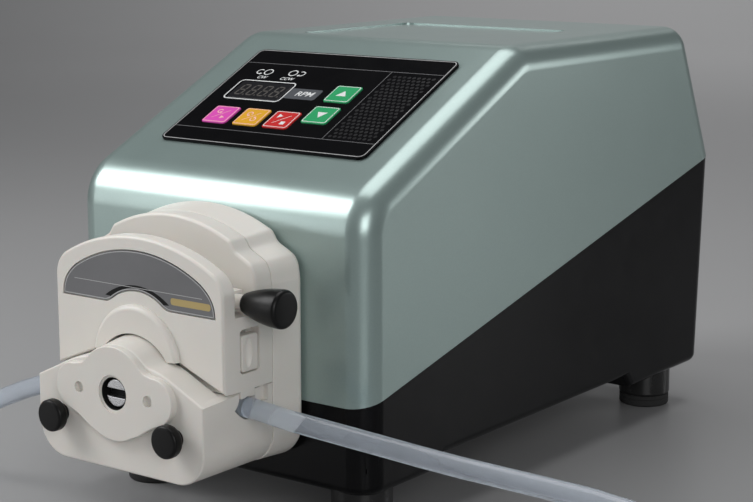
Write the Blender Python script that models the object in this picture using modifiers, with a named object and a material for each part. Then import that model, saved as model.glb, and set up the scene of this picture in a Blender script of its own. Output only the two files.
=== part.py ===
"""Peristaltic pump: a bench drive with a clamp-open tubing head on its front.

Metres, +Z up, the head facing -Y. Everything hangs from a datum empty on the floor under the middle of
the drive's front wall, so Y below is measured from that wall, X from the middle and Z from the floor.
"""

import math

import bmesh
import bpy
from mathutils import Matrix, Vector

MM = 0.001

# Overall placing: the datum is this far in front of the middle of the whole pump.
DATUM_Y = -112.5 * MM
FLOOR_Z = 0.0
GAP = 0.3 * MM

# Drive housing
DRIVE_WIDTH = 155 * MM
DRIVE_TOP = 190.5 * MM
WALL = 3 * MM
EDGE_R = 11 * MM
RIM_R = 4 * MM
SEAM_FRONT_Z = 56.8 * MM
SEAM_SLOPE = 0.2407
SEAM_REAR_Y = 289 * MM
PANEL_FOOT_Z = 137.5 * MM
PANEL_TOP_Y = 109.5 * MM
TOP_REAR_Y = 258 * MM
BASE_REAR_Y = 283.3 * MM
BASE_INSET = 0.8 * MM
BASE_Z = 21 * MM
ARCH_Z = 27 * MM
ARCH_FRONT_Y = 50 * MM
ARCH_REAR_Y = 212 * MM
FLOOR_PAN_Z = 30 * MM

# Feet
FOOT_R = 12.6 * MM
FOOT_X = 57 * MM
FOOT_FRONT_Y = 24 * MM
FOOT_REAR_Y = 261 * MM
PAD_HEIGHT = 5.5 * MM

# Control panel, measured up the slope from its foot
PANEL_X = 2.2 * MM
PANEL_WIDTH = 109.2 * MM
PANEL_LOW = 28.5 * MM
PANEL_HIGH = 104.6 * MM
OVERLAY_THICK = 1.0 * MM
KEY_W = 13.4 * MM
KEY_H = 12.8 * MM
KEY_PROUD = 0.5 * MM
KEYS = {
    "key_magenta": (-33.3 * MM, 49.5 * MM, (0.80, 0.10, 0.52)),
    "key_amber": (-16.3 * MM, 49.6 * MM, (0.90, 0.45, 0.05)),
    "key_red": (0.2 * MM, 49.5 * MM, (0.70, 0.03, 0.03)),
    "key_down": (16.7 * MM, 55.5 * MM, (0.04, 0.48, 0.22)),
    "key_up": (16.6 * MM, 72.3 * MM, (0.04, 0.48, 0.22)),
}
WINDOW = (-27.8 * MM, 70.5 * MM, 28.4 * MM, 13.6 * MM)

# Pump head
AXIS_Z = 64.8 * MM
HEAD_HALF = 43.8 * MM
BLOCK_HALF = 44.3 * MM
HEAD_BOTTOM = 33.5 * MM
HEAD_CORNER_R = 14 * MM
LOWER_FRONT = -56 * MM
BOSS_FRONT = -59 * MM
BOSS_R = 18.7 * MM
FLARE_SIDE = 0.07
FLARE_HIGH = 0.05
FLARE_Z = 90 * MM
UPPER_FRONT = -44.5 * MM
CHANNEL_FRONT = -37.4 * MM
CHANNEL_REAR = -25.4 * MM
CHANNEL_FLOOR = 96.6 * MM
HEAD_SEAM = -16 * MM
SPLIT_Z = 67.4 * MM
TRACK_R = 29.5 * MM
CAVITY_FRONT = -40.5 * MM
CAVITY_REAR = -21.5 * MM
PIVOT_Z = 101.6 * MM

# Rotor
ROLLER_R = 8 * MM
ROLLER_PITCH = 17.3 * MM
ROLLER_FRONT = -37.2 * MM
ROLLER_REAR = -24.8 * MM
SHAFT_R = 5.7 * MM
SHAFT_FRONT = -57 * MM
SHAFT_REAR = -2 * MM

# Tubing
TUBE_R = 4 * MM
TUBE_Y = -31 * MM
TUBE_EXIT_Z = 60.6 * MM
TUBE_ARCH_R = 27.5 * MM
TUBE_FLAT_HALF = 1.7 * MM
TUBE_FLAT_WIDE = 5.7 * MM
PORT_X = 43.9 * MM

THUMB_X = 30.4 * MM
THUMB_Z = 52 * MM

COLOURS = {
    "teal": (0.27, 0.42, 0.39, 0.35, 0.45),
    "black_gloss": (0.012, 0.012, 0.013, 0.0, 0.18),
    "black_matte": (0.02, 0.02, 0.02, 0.0, 0.6),
    "rubber": (0.015, 0.015, 0.015, 0.0, 0.85),
    "ivory": (0.72, 0.69, 0.63, 0.0, 0.45),
    "steel": (0.62, 0.62, 0.64, 1.0, 0.3),
    "dark_label": (0.09, 0.09, 0.10, 0.2, 0.4),
    "board": (0.02, 0.16, 0.08, 0.0, 0.5),
    "tubing": (0.80, 0.83, 0.85, 0.0, 0.3),
    "roller": (0.85, 0.85, 0.82, 0.0, 0.4),
    "smoke": (0.03, 0.03, 0.035, 0.0, 0.1),
}


# ---------------------------------------------------------------- scene helpers
def clear_scene():
    for old in list(bpy.data.objects):
        bpy.data.objects.remove(old, do_unlink=True)


def new_collection(name):
    made = bpy.data.collections.new(name)
    bpy.context.scene.collection.children.link(made)
    return made


clear_scene()
PARTS = new_collection("peristaltic_pump")
CUTTERS = new_collection("cutters")
DATUM = bpy.data.objects.new("pump_datum", None)
DATUM.location = (0, DATUM_Y, FLOOR_Z)
PARTS.objects.link(DATUM)


def material(name, colour):
    made = bpy.data.materials.get(name) or bpy.data.materials.new(name)
    made.use_nodes = True
    shader = made.node_tree.nodes["Principled BSDF"]
    shader.inputs["Base Color"].default_value = (*colour[:3], 1)
    shader.inputs["Metallic"].default_value = colour[3]
    shader.inputs["Roughness"].default_value = colour[4]
    return made


def add_object(name, mesh, colour=None, parent=None):
    """A part in the pump's collection, or a cutter where it has no colour."""
    made = bpy.data.objects.new(name, mesh)
    made.parent = parent or DATUM
    if colour is None:
        CUTTERS.objects.link(made)
        made.hide_render = True
        made.display_type = "WIRE"
        return made
    PARTS.objects.link(made)
    values = colour if isinstance(colour, tuple) else COLOURS[colour]
    mesh.materials.clear()
    mesh.materials.append(material(name + "_finish", values))
    return made


def smooth(made, angle=35):
    made.data.shade_smooth()
    made.data.set_sharp_from_angle(angle=math.radians(angle))
    return made


def mesh_from(bm, name):
    mesh = bpy.data.meshes.new(name)
    bm.to_mesh(mesh)
    bm.free()
    return mesh


def cut(made, *cutters):
    """Boolean away each cutter, then apply the result so that later steps see it."""
    return joined(made, cutters, "DIFFERENCE")


def fuse(made, *others):
    return joined(made, others, "UNION")


def joined(made, others, operation):
    for other in others:
        step = made.modifiers.new(other.name, "BOOLEAN")
        step.operation = operation
        step.solver = "EXACT"
        step.object = other
    return made


# ---------------------------------------------------------------- shape helpers
SIDE_VIEW = Matrix(((0, 0, 1, 0), (1, 0, 0, 0), (0, 1, 0, 0), (0, 0, 0, 1)))
FRONT_VIEW = Matrix(((1, 0, 0, 0), (0, 0, -1, 0), (0, 1, 0, 0), (0, 0, 0, 1)))
PLAN_VIEW = Matrix.Identity(4)


def rounded(corners, steps=5):
    """Corner points (u, v, radius) joined by straight lines, each corner turned into an arc."""
    outline = []
    count = len(corners)
    for index, (u, v, radius) in enumerate(corners):
        here = Vector((u, v))
        if radius <= 0:
            outline.append(here)
            continue
        before = (Vector(corners[index - 1][:2]) - here).normalized()
        after = (Vector(corners[(index + 1) % count][:2]) - here).normalized()
        half = before.angle(after) / 2
        reach = radius / math.tan(half)
        centre = here + (before + after).normalized() * (radius / math.sin(half))
        start = here + before * reach - centre
        end = here + after * reach - centre
        turn = start.angle_signed(end)
        for step in range(steps + 1):
            spin = Matrix.Rotation(-turn * step / steps, 2)
            outline.append(centre + spin @ start)
    return outline


def arc(u, v, radius, start, end, steps):
    """Points on a circle from one angle to another, in degrees."""
    angles = [math.radians(start + (end - start) * step / steps) for step in range(steps + 1)]
    return [Vector((u + radius * math.cos(a), v + radius * math.sin(a))) for a in angles]


def mirrored(right_half):
    """The outline closed by its own mirror image about u = 0."""
    left_half = [Vector((-u, v)) for u, v in reversed(right_half) if u > 1e-6]
    return list(right_half) + left_half


def slab(name, loops, low, high, view, colour=None):
    """Flat outlines extruded between two depths of a view; the second loop and later ones are holes."""
    curve = bpy.data.curves.new(name, "CURVE")
    curve.dimensions = "2D"
    curve.fill_mode = "BOTH"
    curve.extrude = abs(high - low) / 2
    for loop in loops:
        spline = curve.splines.new("POLY")
        spline.points.add(len(loop) - 1)
        spline.use_cyclic_u = True
        for point, (u, v) in zip(spline.points, loop):
            point.co = (u, v, 0, 1)
    drawn = bpy.data.objects.new(name + "_drawn", curve)
    PARTS.objects.link(drawn)
    bpy.context.view_layer.update()
    graph = bpy.context.evaluated_depsgraph_get()
    mesh = bpy.data.meshes.new_from_object(drawn.evaluated_get(graph))
    bpy.data.objects.remove(drawn, do_unlink=True)
    bm = bmesh.new()
    bm.from_mesh(mesh)
    bmesh.ops.remove_doubles(bm, verts=bm.verts, dist=1e-6)
    bmesh.ops.dissolve_limit(bm, angle_limit=0.001, verts=bm.verts, edges=bm.edges)
    bmesh.ops.recalc_face_normals(bm, faces=bm.faces)
    middle = (low + high) / 2
    offset = {"side": (middle, 0, 0), "front": (0, middle, 0), "plan": (0, 0, middle)}[view]
    turn = {"side": SIDE_VIEW, "front": FRONT_VIEW, "plan": PLAN_VIEW}[view]
    bmesh.ops.transform(bm, matrix=Matrix.Translation(offset) @ turn, verts=bm.verts)
    return add_object(name, mesh_from(bm, name), colour)


def block(name, low, high, colour=None, bevel=0.0, segments=2):
    """A box between two corners, with its edges rounded where a bevel is given."""
    bm = bmesh.new()
    size = [high[i] - low[i] for i in range(3)]
    centre = [(high[i] + low[i]) / 2 for i in range(3)]
    bmesh.ops.create_cube(bm, size=1)
    bmesh.ops.transform(bm, matrix=Matrix.Diagonal((*size, 1)), verts=bm.verts)
    if bevel:
        bmesh.ops.bevel(
            bm, geom=list(bm.edges), offset=bevel, segments=segments, profile=0.5, affect="EDGES"
        )
    made = add_object(name, mesh_from(bm, name), colour)
    made.location = centre
    return made


def rod(name, centre, radius, low, high, axis="Y", colour=None, sides=32):
    """A round bar along X, Y or Z, through the given centre of its section."""
    bm = bmesh.new()
    bmesh.ops.create_cone(
        bm, cap_ends=True, segments=sides, radius1=radius, radius2=radius, depth=high - low
    )
    made = add_object(name, mesh_from(bm, name), colour)
    middle = (low + high) / 2
    if axis == "Y":
        made.rotation_euler = (math.radians(90), 0, 0)
        made.location = (centre[0], middle, centre[1])
    elif axis == "X":
        made.rotation_euler = (0, math.radians(90), 0)
        made.location = (middle, centre[0], centre[1])
    else:
        made.location = (centre[0], centre[1], middle)
    return made


def turned(name, profile, location, rotation, colour=None, steps=32):
    """A Screw-turned solid. The profile is (radius, height), listed from its top down, on its own Z."""
    mesh = bpy.data.meshes.new(name)
    points = [(radius, 0, height) for radius, height in profile]
    edges = [(index, index + 1) for index in range(len(points) - 1)]
    mesh.from_pydata(points, edges, [])
    made = add_object(name, mesh, colour)
    made.location = location
    made.rotation_euler = rotation
    screw = made.modifiers.new("turn", "SCREW")
    screw.axis = "Z"
    screw.steps = steps
    screw.render_steps = steps
    screw.use_merge_vertices = True
    screw.merge_threshold = 0.00001
    return made


def sweep(name, points, radius, colour=None, sides=2):
    """A round tube with filled ends along a list of points."""
    curve = bpy.data.curves.new(name, "CURVE")
    curve.dimensions = "3D"
    curve.bevel_depth = radius
    curve.bevel_resolution = sides
    curve.use_fill_caps = True
    spline = curve.splines.new("POLY")
    spline.points.add(len(points) - 1)
    for point, place in zip(spline.points, points):
        point.co = (*place, 1)
    drawn = bpy.data.objects.new(name + "_drawn", curve)
    PARTS.objects.link(drawn)
    bpy.context.view_layer.update()
    graph = bpy.context.evaluated_depsgraph_get()
    mesh = bpy.data.meshes.new_from_object(drawn.evaluated_get(graph))
    bpy.data.objects.remove(drawn, do_unlink=True)
    bm = bmesh.new()
    bm.from_mesh(mesh)
    bmesh.ops.remove_doubles(bm, verts=bm.verts, dist=1e-6)
    bmesh.ops.recalc_face_normals(bm, faces=bm.faces)
    return add_object(name, mesh_from(bm, name), colour)


def smooth_curve(points, count):
    """Evenly spaced points on a Catmull-Rom curve through the given ones."""
    knots = [Vector(point) for point in points]
    knots = [2 * knots[0] - knots[1]] + knots + [2 * knots[-1] - knots[-2]]
    fine = []
    for index in range(1, len(knots) - 2):
        p0, p1, p2, p3 = knots[index - 1 : index + 3]
        for step in range(24):
            t = step / 24
            fine.append(
                0.5
                * (
                    2 * p1
                    + (p2 - p0) * t
                    + (2 * p0 - 5 * p1 + 4 * p2 - p3) * t**2
                    + (3 * p1 - p0 - 3 * p2 + p3) * t**3
                )
            )
    fine.append(knots[-2])
    along = [0.0]
    for before, after in zip(fine, fine[1:]):
        along.append(along[-1] + (after - before).length)
    even = []
    place = 0
    for step in range(count):
        wanted = along[-1] * step / (count - 1)
        while place < len(along) - 2 and along[place + 1] < wanted:
            place += 1
        span = along[place + 1] - along[place]
        share = (wanted - along[place]) / span
        even.append(fine[place].lerp(fine[place + 1], share))
    return even


def round_edges(made, chosen, radius, segments):
    """Bevel the mesh edges whose two ends both satisfy the test."""
    bm = bmesh.new()
    bm.from_mesh(made.data)
    bm.normal_update()
    picked = [edge for edge in bm.edges if chosen(edge)]
    bmesh.ops.bevel(
        bm, geom=picked, offset=radius, segments=segments, profile=0.5, affect="EDGES"
    )
    bm.to_mesh(made.data)
    bm.free()
    return made


# ---------------------------------------------------------------- drive housing
def seam_z(y):
    return SEAM_FRONT_Z + SEAM_SLOPE * y


def shell_profile(inset):
    """The upper shell in side view, or its inside, which runs on below the seam."""
    drop = -GAP / 2 if inset == 0 else 12 * MM
    front = inset
    rear_seam = SEAM_REAR_Y + (0 if inset == 0 else 2.5 * MM)
    slope_drop = inset * 1.08
    return rounded(
        [
            (front, seam_z(front) - drop, 0),
            (rear_seam, seam_z(rear_seam) - drop, 0),
            (TOP_REAR_Y - inset * 0.8, DRIVE_TOP - inset, max(12 * MM - inset, MM)),
            (PANEL_TOP_Y + inset * 0.25, DRIVE_TOP - inset, max(22 * MM - inset, MM)),
            (front, PANEL_FOOT_Z - slope_drop + inset * 0.55, max(22 * MM - inset, MM)),
        ]
    )


def along_end(edge, half_width):
    """True for an edge lying in one of the two end faces at plus or minus the half width."""
    a, b = edge.verts
    return abs(abs(a.co.x) - half_width) < 1e-5 and abs(a.co.x - b.co.x) < 1e-5


def above_seam(edge):
    return any(vert.co.z > seam_z(vert.co.y) + MM for vert in edge.verts)


def make_upper_shell():
    half = DRIVE_WIDTH / 2
    shell = slab("upper_shell", [shell_profile(0)], -half, half, "side", "teal")
    round_edges(shell, lambda e: along_end(e, half) and above_seam(e), EDGE_R, 4)
    inner_half = half - WALL
    hollow = slab("upper_hollow", [shell_profile(WALL)], -inner_half, inner_half, "side")
    round_edges(
        hollow, lambda e: along_end(e, inner_half) and above_seam(e), EDGE_R - WALL, 3
    )
    opening = block(
        "keypad_opening",
        (PANEL_X - 49 * MM, PANEL_LOW + 7 * MM, -8 * MM),
        (PANEL_X + 34 * MM, PANEL_HIGH - 8 * MM, 8 * MM),
    )
    place_on_panel(opening)
    shaft_hole = rod("shell_shaft_hole", (0, AXIS_Z), 11 * MM, -5 * MM, WALL + 4 * MM)
    shell = cut(shell, hollow, opening, shaft_hole)
    for index, (x, z) in enumerate(head_screw_places()):
        if z > SEAM_FRONT_Z:
            cut(shell, rod(f"shell_screw_hole_{index}", (x, z), 2.5 * MM, -5 * MM, 9 * MM, sides=16))
    return smooth(shell)


def base_profile(inset):
    """The base in side view, with the long arch between the front and rear feet."""
    front = BASE_INSET + inset
    rear_top = SEAM_REAR_Y - inset
    rear_low = BASE_REAR_Y - inset
    rise = 12 * MM if inset else -GAP / 2
    top = [(rear_top, seam_z(rear_top) + rise, 0), (front, seam_z(front) + rise, 0)]
    if inset:
        return rounded(top + [(front, FLOOR_PAN_Z, 2 * MM), (rear_low, FLOOR_PAN_Z, 6 * MM)], 3)
    return rounded(
        top
        + [
            (front, BASE_Z, 0),
            (ARCH_FRONT_Y, BASE_Z, 0),
            (ARCH_FRONT_Y + 5 * MM, ARCH_Z, 0),
            (ARCH_REAR_Y - 5 * MM, ARCH_Z, 0),
            (ARCH_REAR_Y, BASE_Z, 0),
            (rear_low, BASE_Z, 0),
        ]
    )


def upright(edge, half_width):
    """A corner edge between a side and the front or rear of the base."""
    a, b = edge.verts
    rise = abs(a.co.z - b.co.z)
    return along_end(edge, half_width) and rise > 10 * MM and rise > abs(a.co.y - b.co.y)


def bottom_rim(edge):
    """An edge where an upright face meets the underside."""
    slants = sorted(face.normal.z for face in edge.link_faces)
    return slants[0] < -0.4 and abs(slants[1]) < 0.3


def make_lower_base():
    half = DRIVE_WIDTH / 2 - 0.2 * MM
    base = slab("lower_base", [base_profile(0)], -half, half, "side", "black_gloss")
    round_edges(base, lambda e: upright(e, half), EDGE_R, 5)
    round_edges(base, bottom_rim, RIM_R, 3)
    inner_half = half - WALL
    hollow = slab("base_hollow", [base_profile(WALL)], -inner_half, inner_half, "side")
    round_edges(hollow, lambda e: upright(e, inner_half), EDGE_R - WALL, 3)
    cut(base, hollow)
    cut(base, rod("base_shaft_hole", (0, AXIS_Z), 11 * MM, -5 * MM, WALL + 4 * MM))
    for index, (x, z) in enumerate(head_screw_places()):
        if z < SEAM_FRONT_Z:
            cut(base, rod(f"base_screw_hole_{index}", (x, z), 2.5 * MM, -5 * MM, 9 * MM, sides=16))
    cut(base, *rear_cutouts())
    return smooth(base)


def make_feet():
    for side, x in (("left", -FOOT_X), ("right", FOOT_X)):
        for end, y in (("front", FOOT_FRONT_Y), ("rear", FOOT_REAR_Y)):
            top = BASE_Z - GAP
            profile = [
                (0, top),
                (FOOT_R, top),
                (FOOT_R, PAD_HEIGHT + GAP + 0.8 * MM),
                (FOOT_R - 0.8 * MM, PAD_HEIGHT + GAP),
                (0, PAD_HEIGHT + GAP),
            ]
            foot = turned(f"foot_{end}_{side}", profile, (x, y, 0), (0, 0, 0), "black_gloss")
            smooth(foot)
            pad_r = FOOT_R - 0.3 * MM
            profile = [
                (0, PAD_HEIGHT),
                (pad_r, PAD_HEIGHT),
                (pad_r, 1.2 * MM),
                (pad_r - 1.2 * MM, 0),
                (0, 0),
            ]
            smooth(turned(f"foot_pad_{end}_{side}", profile, (x, y, 0), (0, 0, 0), "rubber"))


# ---------------------------------------------------------------- control panel
def panel_angle():
    return math.atan2(DRIVE_TOP - PANEL_FOOT_Z, PANEL_TOP_Y)


def place_on_panel(made):
    """Turn an object drawn as (x, distance up the slope, height off the slope) onto the slope."""
    made.rotation_euler = (panel_angle(), 0, 0)
    turn = Matrix.Rotation(panel_angle(), 3, "X")
    made.location = turn @ Vector(made.location) + Vector((0, 0, PANEL_FOOT_Z))
    return made


def rectangle(x, s, width, height, radius, steps=3):
    half_w, half_h = width / 2, height / 2
    return rounded(
        [
            (x - half_w, s - half_h, radius),
            (x + half_w, s - half_h, radius),
            (x + half_w, s + half_h, radius),
            (x - half_w, s + half_h, radius),
        ],
        steps,
    )


def make_panel():
    low, high = GAP, GAP + OVERLAY_THICK
    middle = (PANEL_LOW + PANEL_HIGH) / 2
    loops = [rectangle(PANEL_X, middle, PANEL_WIDTH, PANEL_HIGH - PANEL_LOW, 3.5 * MM, 4)]
    for x, s, _ in KEYS.values():
        loops.append(rectangle(x, s, KEY_W + 2 * GAP, KEY_H + 2 * GAP, 1.5 * MM))
    x, s, width, height = WINDOW
    loops.append(rectangle(x, s, width + 2 * GAP, height + 2 * GAP, 1.5 * MM))
    place_on_panel(slab("panel_overlay", loops, low, high, "plan", "black_gloss"))
    lens = slab(
        "display_window", [rectangle(x, s, width, height, 1.5 * MM)], low, high, "plan", "smoke"
    )
    place_on_panel(lens)
    for name, (x, s, colour) in KEYS.items():
        bm = bmesh.new()
        bmesh.ops.create_cube(bm, size=1)
        thickness = 3 * MM
        scale = Matrix.Diagonal((KEY_W, KEY_H, thickness, 1))
        bmesh.ops.transform(bm, matrix=scale, verts=bm.verts)
        uprights = [e for e in bm.edges if abs(e.verts[0].co.z - e.verts[1].co.z) > MM]
        bmesh.ops.bevel(
            bm, geom=uprights, offset=1.3 * MM, segments=3, profile=0.5, affect="EDGES"
        )
        key = add_object(name, mesh_from(bm, name), (*colour, 0.0, 0.35))
        key.location = (x, s, high + KEY_PROUD - thickness / 2)
        place_on_panel(key)
    board = block(
        "display_board",
        (PANEL_X - 46 * MM, PANEL_LOW + 10 * MM, -6.6 * MM),
        (PANEL_X + 31 * MM, PANEL_HIGH - 11 * MM, -5 * MM),
        "board",
    )
    x, s, width, height = WINDOW
    digits = block(
        "digit_module",
        (x - width / 2, s - height / 2, -5.5 * MM),
        (x + width / 2, s + height / 2, -0.3 * MM),
    )
    place_on_panel(board)
    place_on_panel(digits)
    fuse(board, digits)


# ---------------------------------------------------------------- rear fittings
REAR_TILT = math.atan2(
    SEAM_REAR_Y - BASE_REAR_Y, SEAM_FRONT_Z + SEAM_SLOPE * SEAM_REAR_Y - BASE_Z
)
INLET = (-40 * MM, 66 * MM, 27 * MM, 24 * MM)
SWITCH = (2 * MM, 66 * MM, 13 * MM, 19 * MM)
SOCKET = (42 * MM, 66 * MM, 26 * MM, 11 * MM)
VENTS = [(0, z * MM) for z in (92, 98, 104, 110)]


def rear_y(z):
    return BASE_REAR_Y + (z - BASE_Z) * math.tan(REAR_TILT)


def place_on_rear(made, z):
    """Lean an object that was drawn about the rear wall's outer face, at height z."""
    lean = Matrix.Rotation(-REAR_TILT, 3, "X")
    made.rotation_euler = (-REAR_TILT, 0, 0)
    made.location = lean @ Vector(made.location) + Vector((0, rear_y(z), z))
    return made


def rear_block(name, fitting, near, far, grow=0.0, colour=None, bevel=0.0):
    """A box on the rear wall; near and far are depths from its outer face, outwards."""
    x, z, width, height = fitting
    half_w, half_h = width / 2 + grow, height / 2 + grow
    made = block(name, (x - half_w, near, -half_h), (x + half_w, far, half_h), colour, bevel)
    return place_on_rear(made, z)


def rear_cutouts():
    cutters = [
        rear_block(f"rear_hole_{index}", fitting, -8 * MM, 5 * MM, 0.5 * MM)
        for index, fitting in enumerate((INLET, SWITCH, SOCKET))
    ]
    for index, (x, z) in enumerate(VENTS):
        cutters.append(rear_block(f"vent_{index}", (x, z, 90 * MM, 2.4 * MM), -8 * MM, 5 * MM))
    return cutters


def make_rear_fittings():
    inlet = rear_block("power_inlet", INLET, -22 * MM, 0.5 * MM, 0, "black_matte")
    flange = rear_block("inlet_flange", INLET, 0.3 * MM, 1.8 * MM, 2.2 * MM)
    recess = rear_block("inlet_recess", (INLET[0], INLET[1] - MM, 22 * MM, 16 * MM), -16 * MM, 4 * MM)
    fuse(inlet, flange)
    cut(inlet, recess)
    for index, (dx, dz) in enumerate(((-6, -2), (0, 3), (6, -2))):
        pin = rear_block(
            f"inlet_pin_{index}", (INLET[0] + dx * MM, INLET[1] + dz * MM, 2 * MM, 4 * MM), -17 * MM, -4 * MM
        )
        fuse(inlet, pin)
    frame = rear_block("switch_frame", SWITCH, -14 * MM, 0.5 * MM, 0, "black_matte")
    rim = rear_block("switch_rim", SWITCH, 0.3 * MM, 1.6 * MM, 1.5 * MM)
    well = rear_block("switch_well", (SWITCH[0], SWITCH[1], 9.6 * MM, 15.6 * MM), -11.5 * MM, 4 * MM)
    fuse(frame, rim)
    cut(frame, well)
    socket = rear_block("control_socket", SOCKET, -9 * MM, 0.5 * MM, 0, "steel")
    plate = rear_block("socket_plate", SOCKET, 0.3 * MM, 1.3 * MM, 2.5 * MM)
    hollow = rear_block("socket_hollow", (SOCKET[0], SOCKET[1], 24 * MM, 8.4 * MM), -6 * MM, 4 * MM)
    core = rear_block("socket_core", (SOCKET[0], SOCKET[1], 22 * MM, 6.4 * MM), -7 * MM, -1 * MM)
    fuse(socket, plate)
    cut(socket, hollow)
    fuse(socket, core)
    make_rocker()


ROCKER_PIVOT_DEPTH = -4 * MM
ROCKER_HALF_ANGLE = 11


def make_rocker():
    """The on/off rocker, resting with its upper half pressed in."""
    half = 7.2 * MM
    outline = rounded(
        [
            (-6.5 * MM + ROCKER_PIVOT_DEPTH + 4 * MM, -3 * MM, 0),
            (2.0 * MM, -half, 0.6 * MM),
            (0.6 * MM, 0, 0),
            (2.0 * MM, half, 0.6 * MM),
            (-6.5 * MM + ROCKER_PIVOT_DEPTH + 4 * MM, 3 * MM, 0),
        ],
        2,
    )
    x, z = SWITCH[0], SWITCH[1]
    rocker = slab("power_rocker", [outline], -4.4 * MM, 4.4 * MM, "side", "black_gloss")
    pivot_y = rear_y(z) + ROCKER_PIVOT_DEPTH
    tilt = math.radians(ROCKER_HALF_ANGLE)
    rocker.rotation_euler = (-REAR_TILT + tilt, 0, 0)
    rocker.location = (x, pivot_y, z)


# ---------------------------------------------------------------- inside the drive
MOTOR_FRONT = 10 * MM
MOTOR_LENGTH = 76 * MM
MOTOR_HALF = 28.5 * MM
CHASSIS_TOP = 31.8 * MM


def make_internals():
    chassis = block(
        "chassis_plate",
        (-68 * MM, 8 * MM, FLOOR_PAN_Z + GAP),
        (68 * MM, 270 * MM, CHASSIS_TOP),
        "steel",
    )
    for index, (x, y) in enumerate(((14, 118), (60, 118), (14, 206), (60, 206))):
        pillar = rod(
            f"pillar_{index}", (x * MM, y * MM), 3 * MM, CHASSIS_TOP - MM, 42 * MM, "Z", sides=16
        )
        fuse(chassis, pillar)
    bracket = block(
        "motor_bracket",
        (-29 * MM, MOTOR_FRONT - 3.3 * MM, CHASSIS_TOP + GAP),
        (29 * MM, MOTOR_FRONT - GAP, 100 * MM),
        "steel",
    )
    foot = block(
        "bracket_foot",
        (-29 * MM, MOTOR_FRONT - 3.2 * MM, CHASSIS_TOP + GAP),
        (29 * MM, MOTOR_FRONT + 30 * MM, CHASSIS_TOP + 2.8 * MM),
    )
    fuse(bracket, foot)
    cut(bracket, rod("bracket_hole", (0, AXIS_Z), 12 * MM, 0, 16 * MM))
    motor = block(
        "motor_body",
        (-MOTOR_HALF, MOTOR_FRONT, AXIS_Z - MOTOR_HALF),
        (MOTOR_HALF, MOTOR_FRONT + MOTOR_LENGTH, AXIS_Z + MOTOR_HALF),
        "black_matte",
        3 * MM,
        1,
    )
    bore = rod("motor_bore", (0, AXIS_Z), 6 * MM, MOTOR_FRONT - 5 * MM, MOTOR_FRONT + 26 * MM)
    cut(motor, bore)
    block(
        "power_supply",
        (-66 * MM, 112 * MM, CHASSIS_TOP + GAP),
        (-6 * MM, 212 * MM, 70 * MM),
        "steel",
        1 * MM,
        1,
    )
    board = block("drive_board", (8 * MM, 112 * MM, 42.3 * MM), (66 * MM, 212 * MM, 44 * MM), "board")
    for index, (x, y, height) in enumerate(((24, 140, 12), (46, 150, 18), (30, 185, 9))):
        chip = block(
            f"component_{index}",
            ((x - 8) * MM, (y - 10) * MM, 43.5 * MM),
            ((x + 8) * MM, (y + 10) * MM, (44 + height) * MM),
        )
        fuse(board, chip)


# ---------------------------------------------------------------- pump head, fixed pieces
def head_screw_places():
    return [(side * 33 * MM, z * MM) for side in (-1, 1) for z in (45, 112)]


def high_outline(bottom, corner):
    """The tall outline shared by the rear housing and the back of the moving block."""
    right = arc(0, 63.2 * MM, 67.2 * MM, 90, 63.5, 5)
    for x, z in ((32.0, 121.6), (33.6, 119.0), (37.6, 116.9), (41.4, 114.6), (43.3, 111.2)):
        right.append(Vector((x * MM, z * MM)))
    right.append(Vector((BLOCK_HALF, 106 * MM)))
    if corner:
        right += arc(BLOCK_HALF - corner, bottom + corner, corner, 0, -90, 5)
    else:
        right.append(Vector((BLOCK_HALF, bottom)))
    return mirrored(right)


def front_outline():
    """The lower block's front: sloping shoulders rising to a half-round boss."""
    right = arc(0, AXIS_Z, 19 * MM, 90, 38, 6)
    for x, z in ((19.5, 76.3), (25.5, 74.8)):
        right.append(Vector((x * MM, z * MM)))
    right.append(Vector((HEAD_HALF, 65.6 * MM)))
    right += arc(HEAD_HALF - HEAD_CORNER_R, HEAD_BOTTOM + HEAD_CORNER_R, HEAD_CORNER_R, 0, -90, 5)
    return mirrored(right)


def boss_outline():
    """A round plate with an ear on each side."""
    right = arc(0, AXIS_Z, BOSS_R, 90, 48, 5)
    for x, z in ((14.4, 76.7), (17.6, 74.8)):
        right.append(Vector((x * MM, z * MM)))
    right += arc(21.3 * MM, AXIS_Z, 9.4 * MM, 95, -72, 12)
    for x, z in ((18.6, 53.6), (14.4, 51.2)):
        right.append(Vector((x * MM, z * MM)))
    right += arc(0, AXIS_Z, BOSS_R, -58, -90, 4)
    return mirrored(right)


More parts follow.
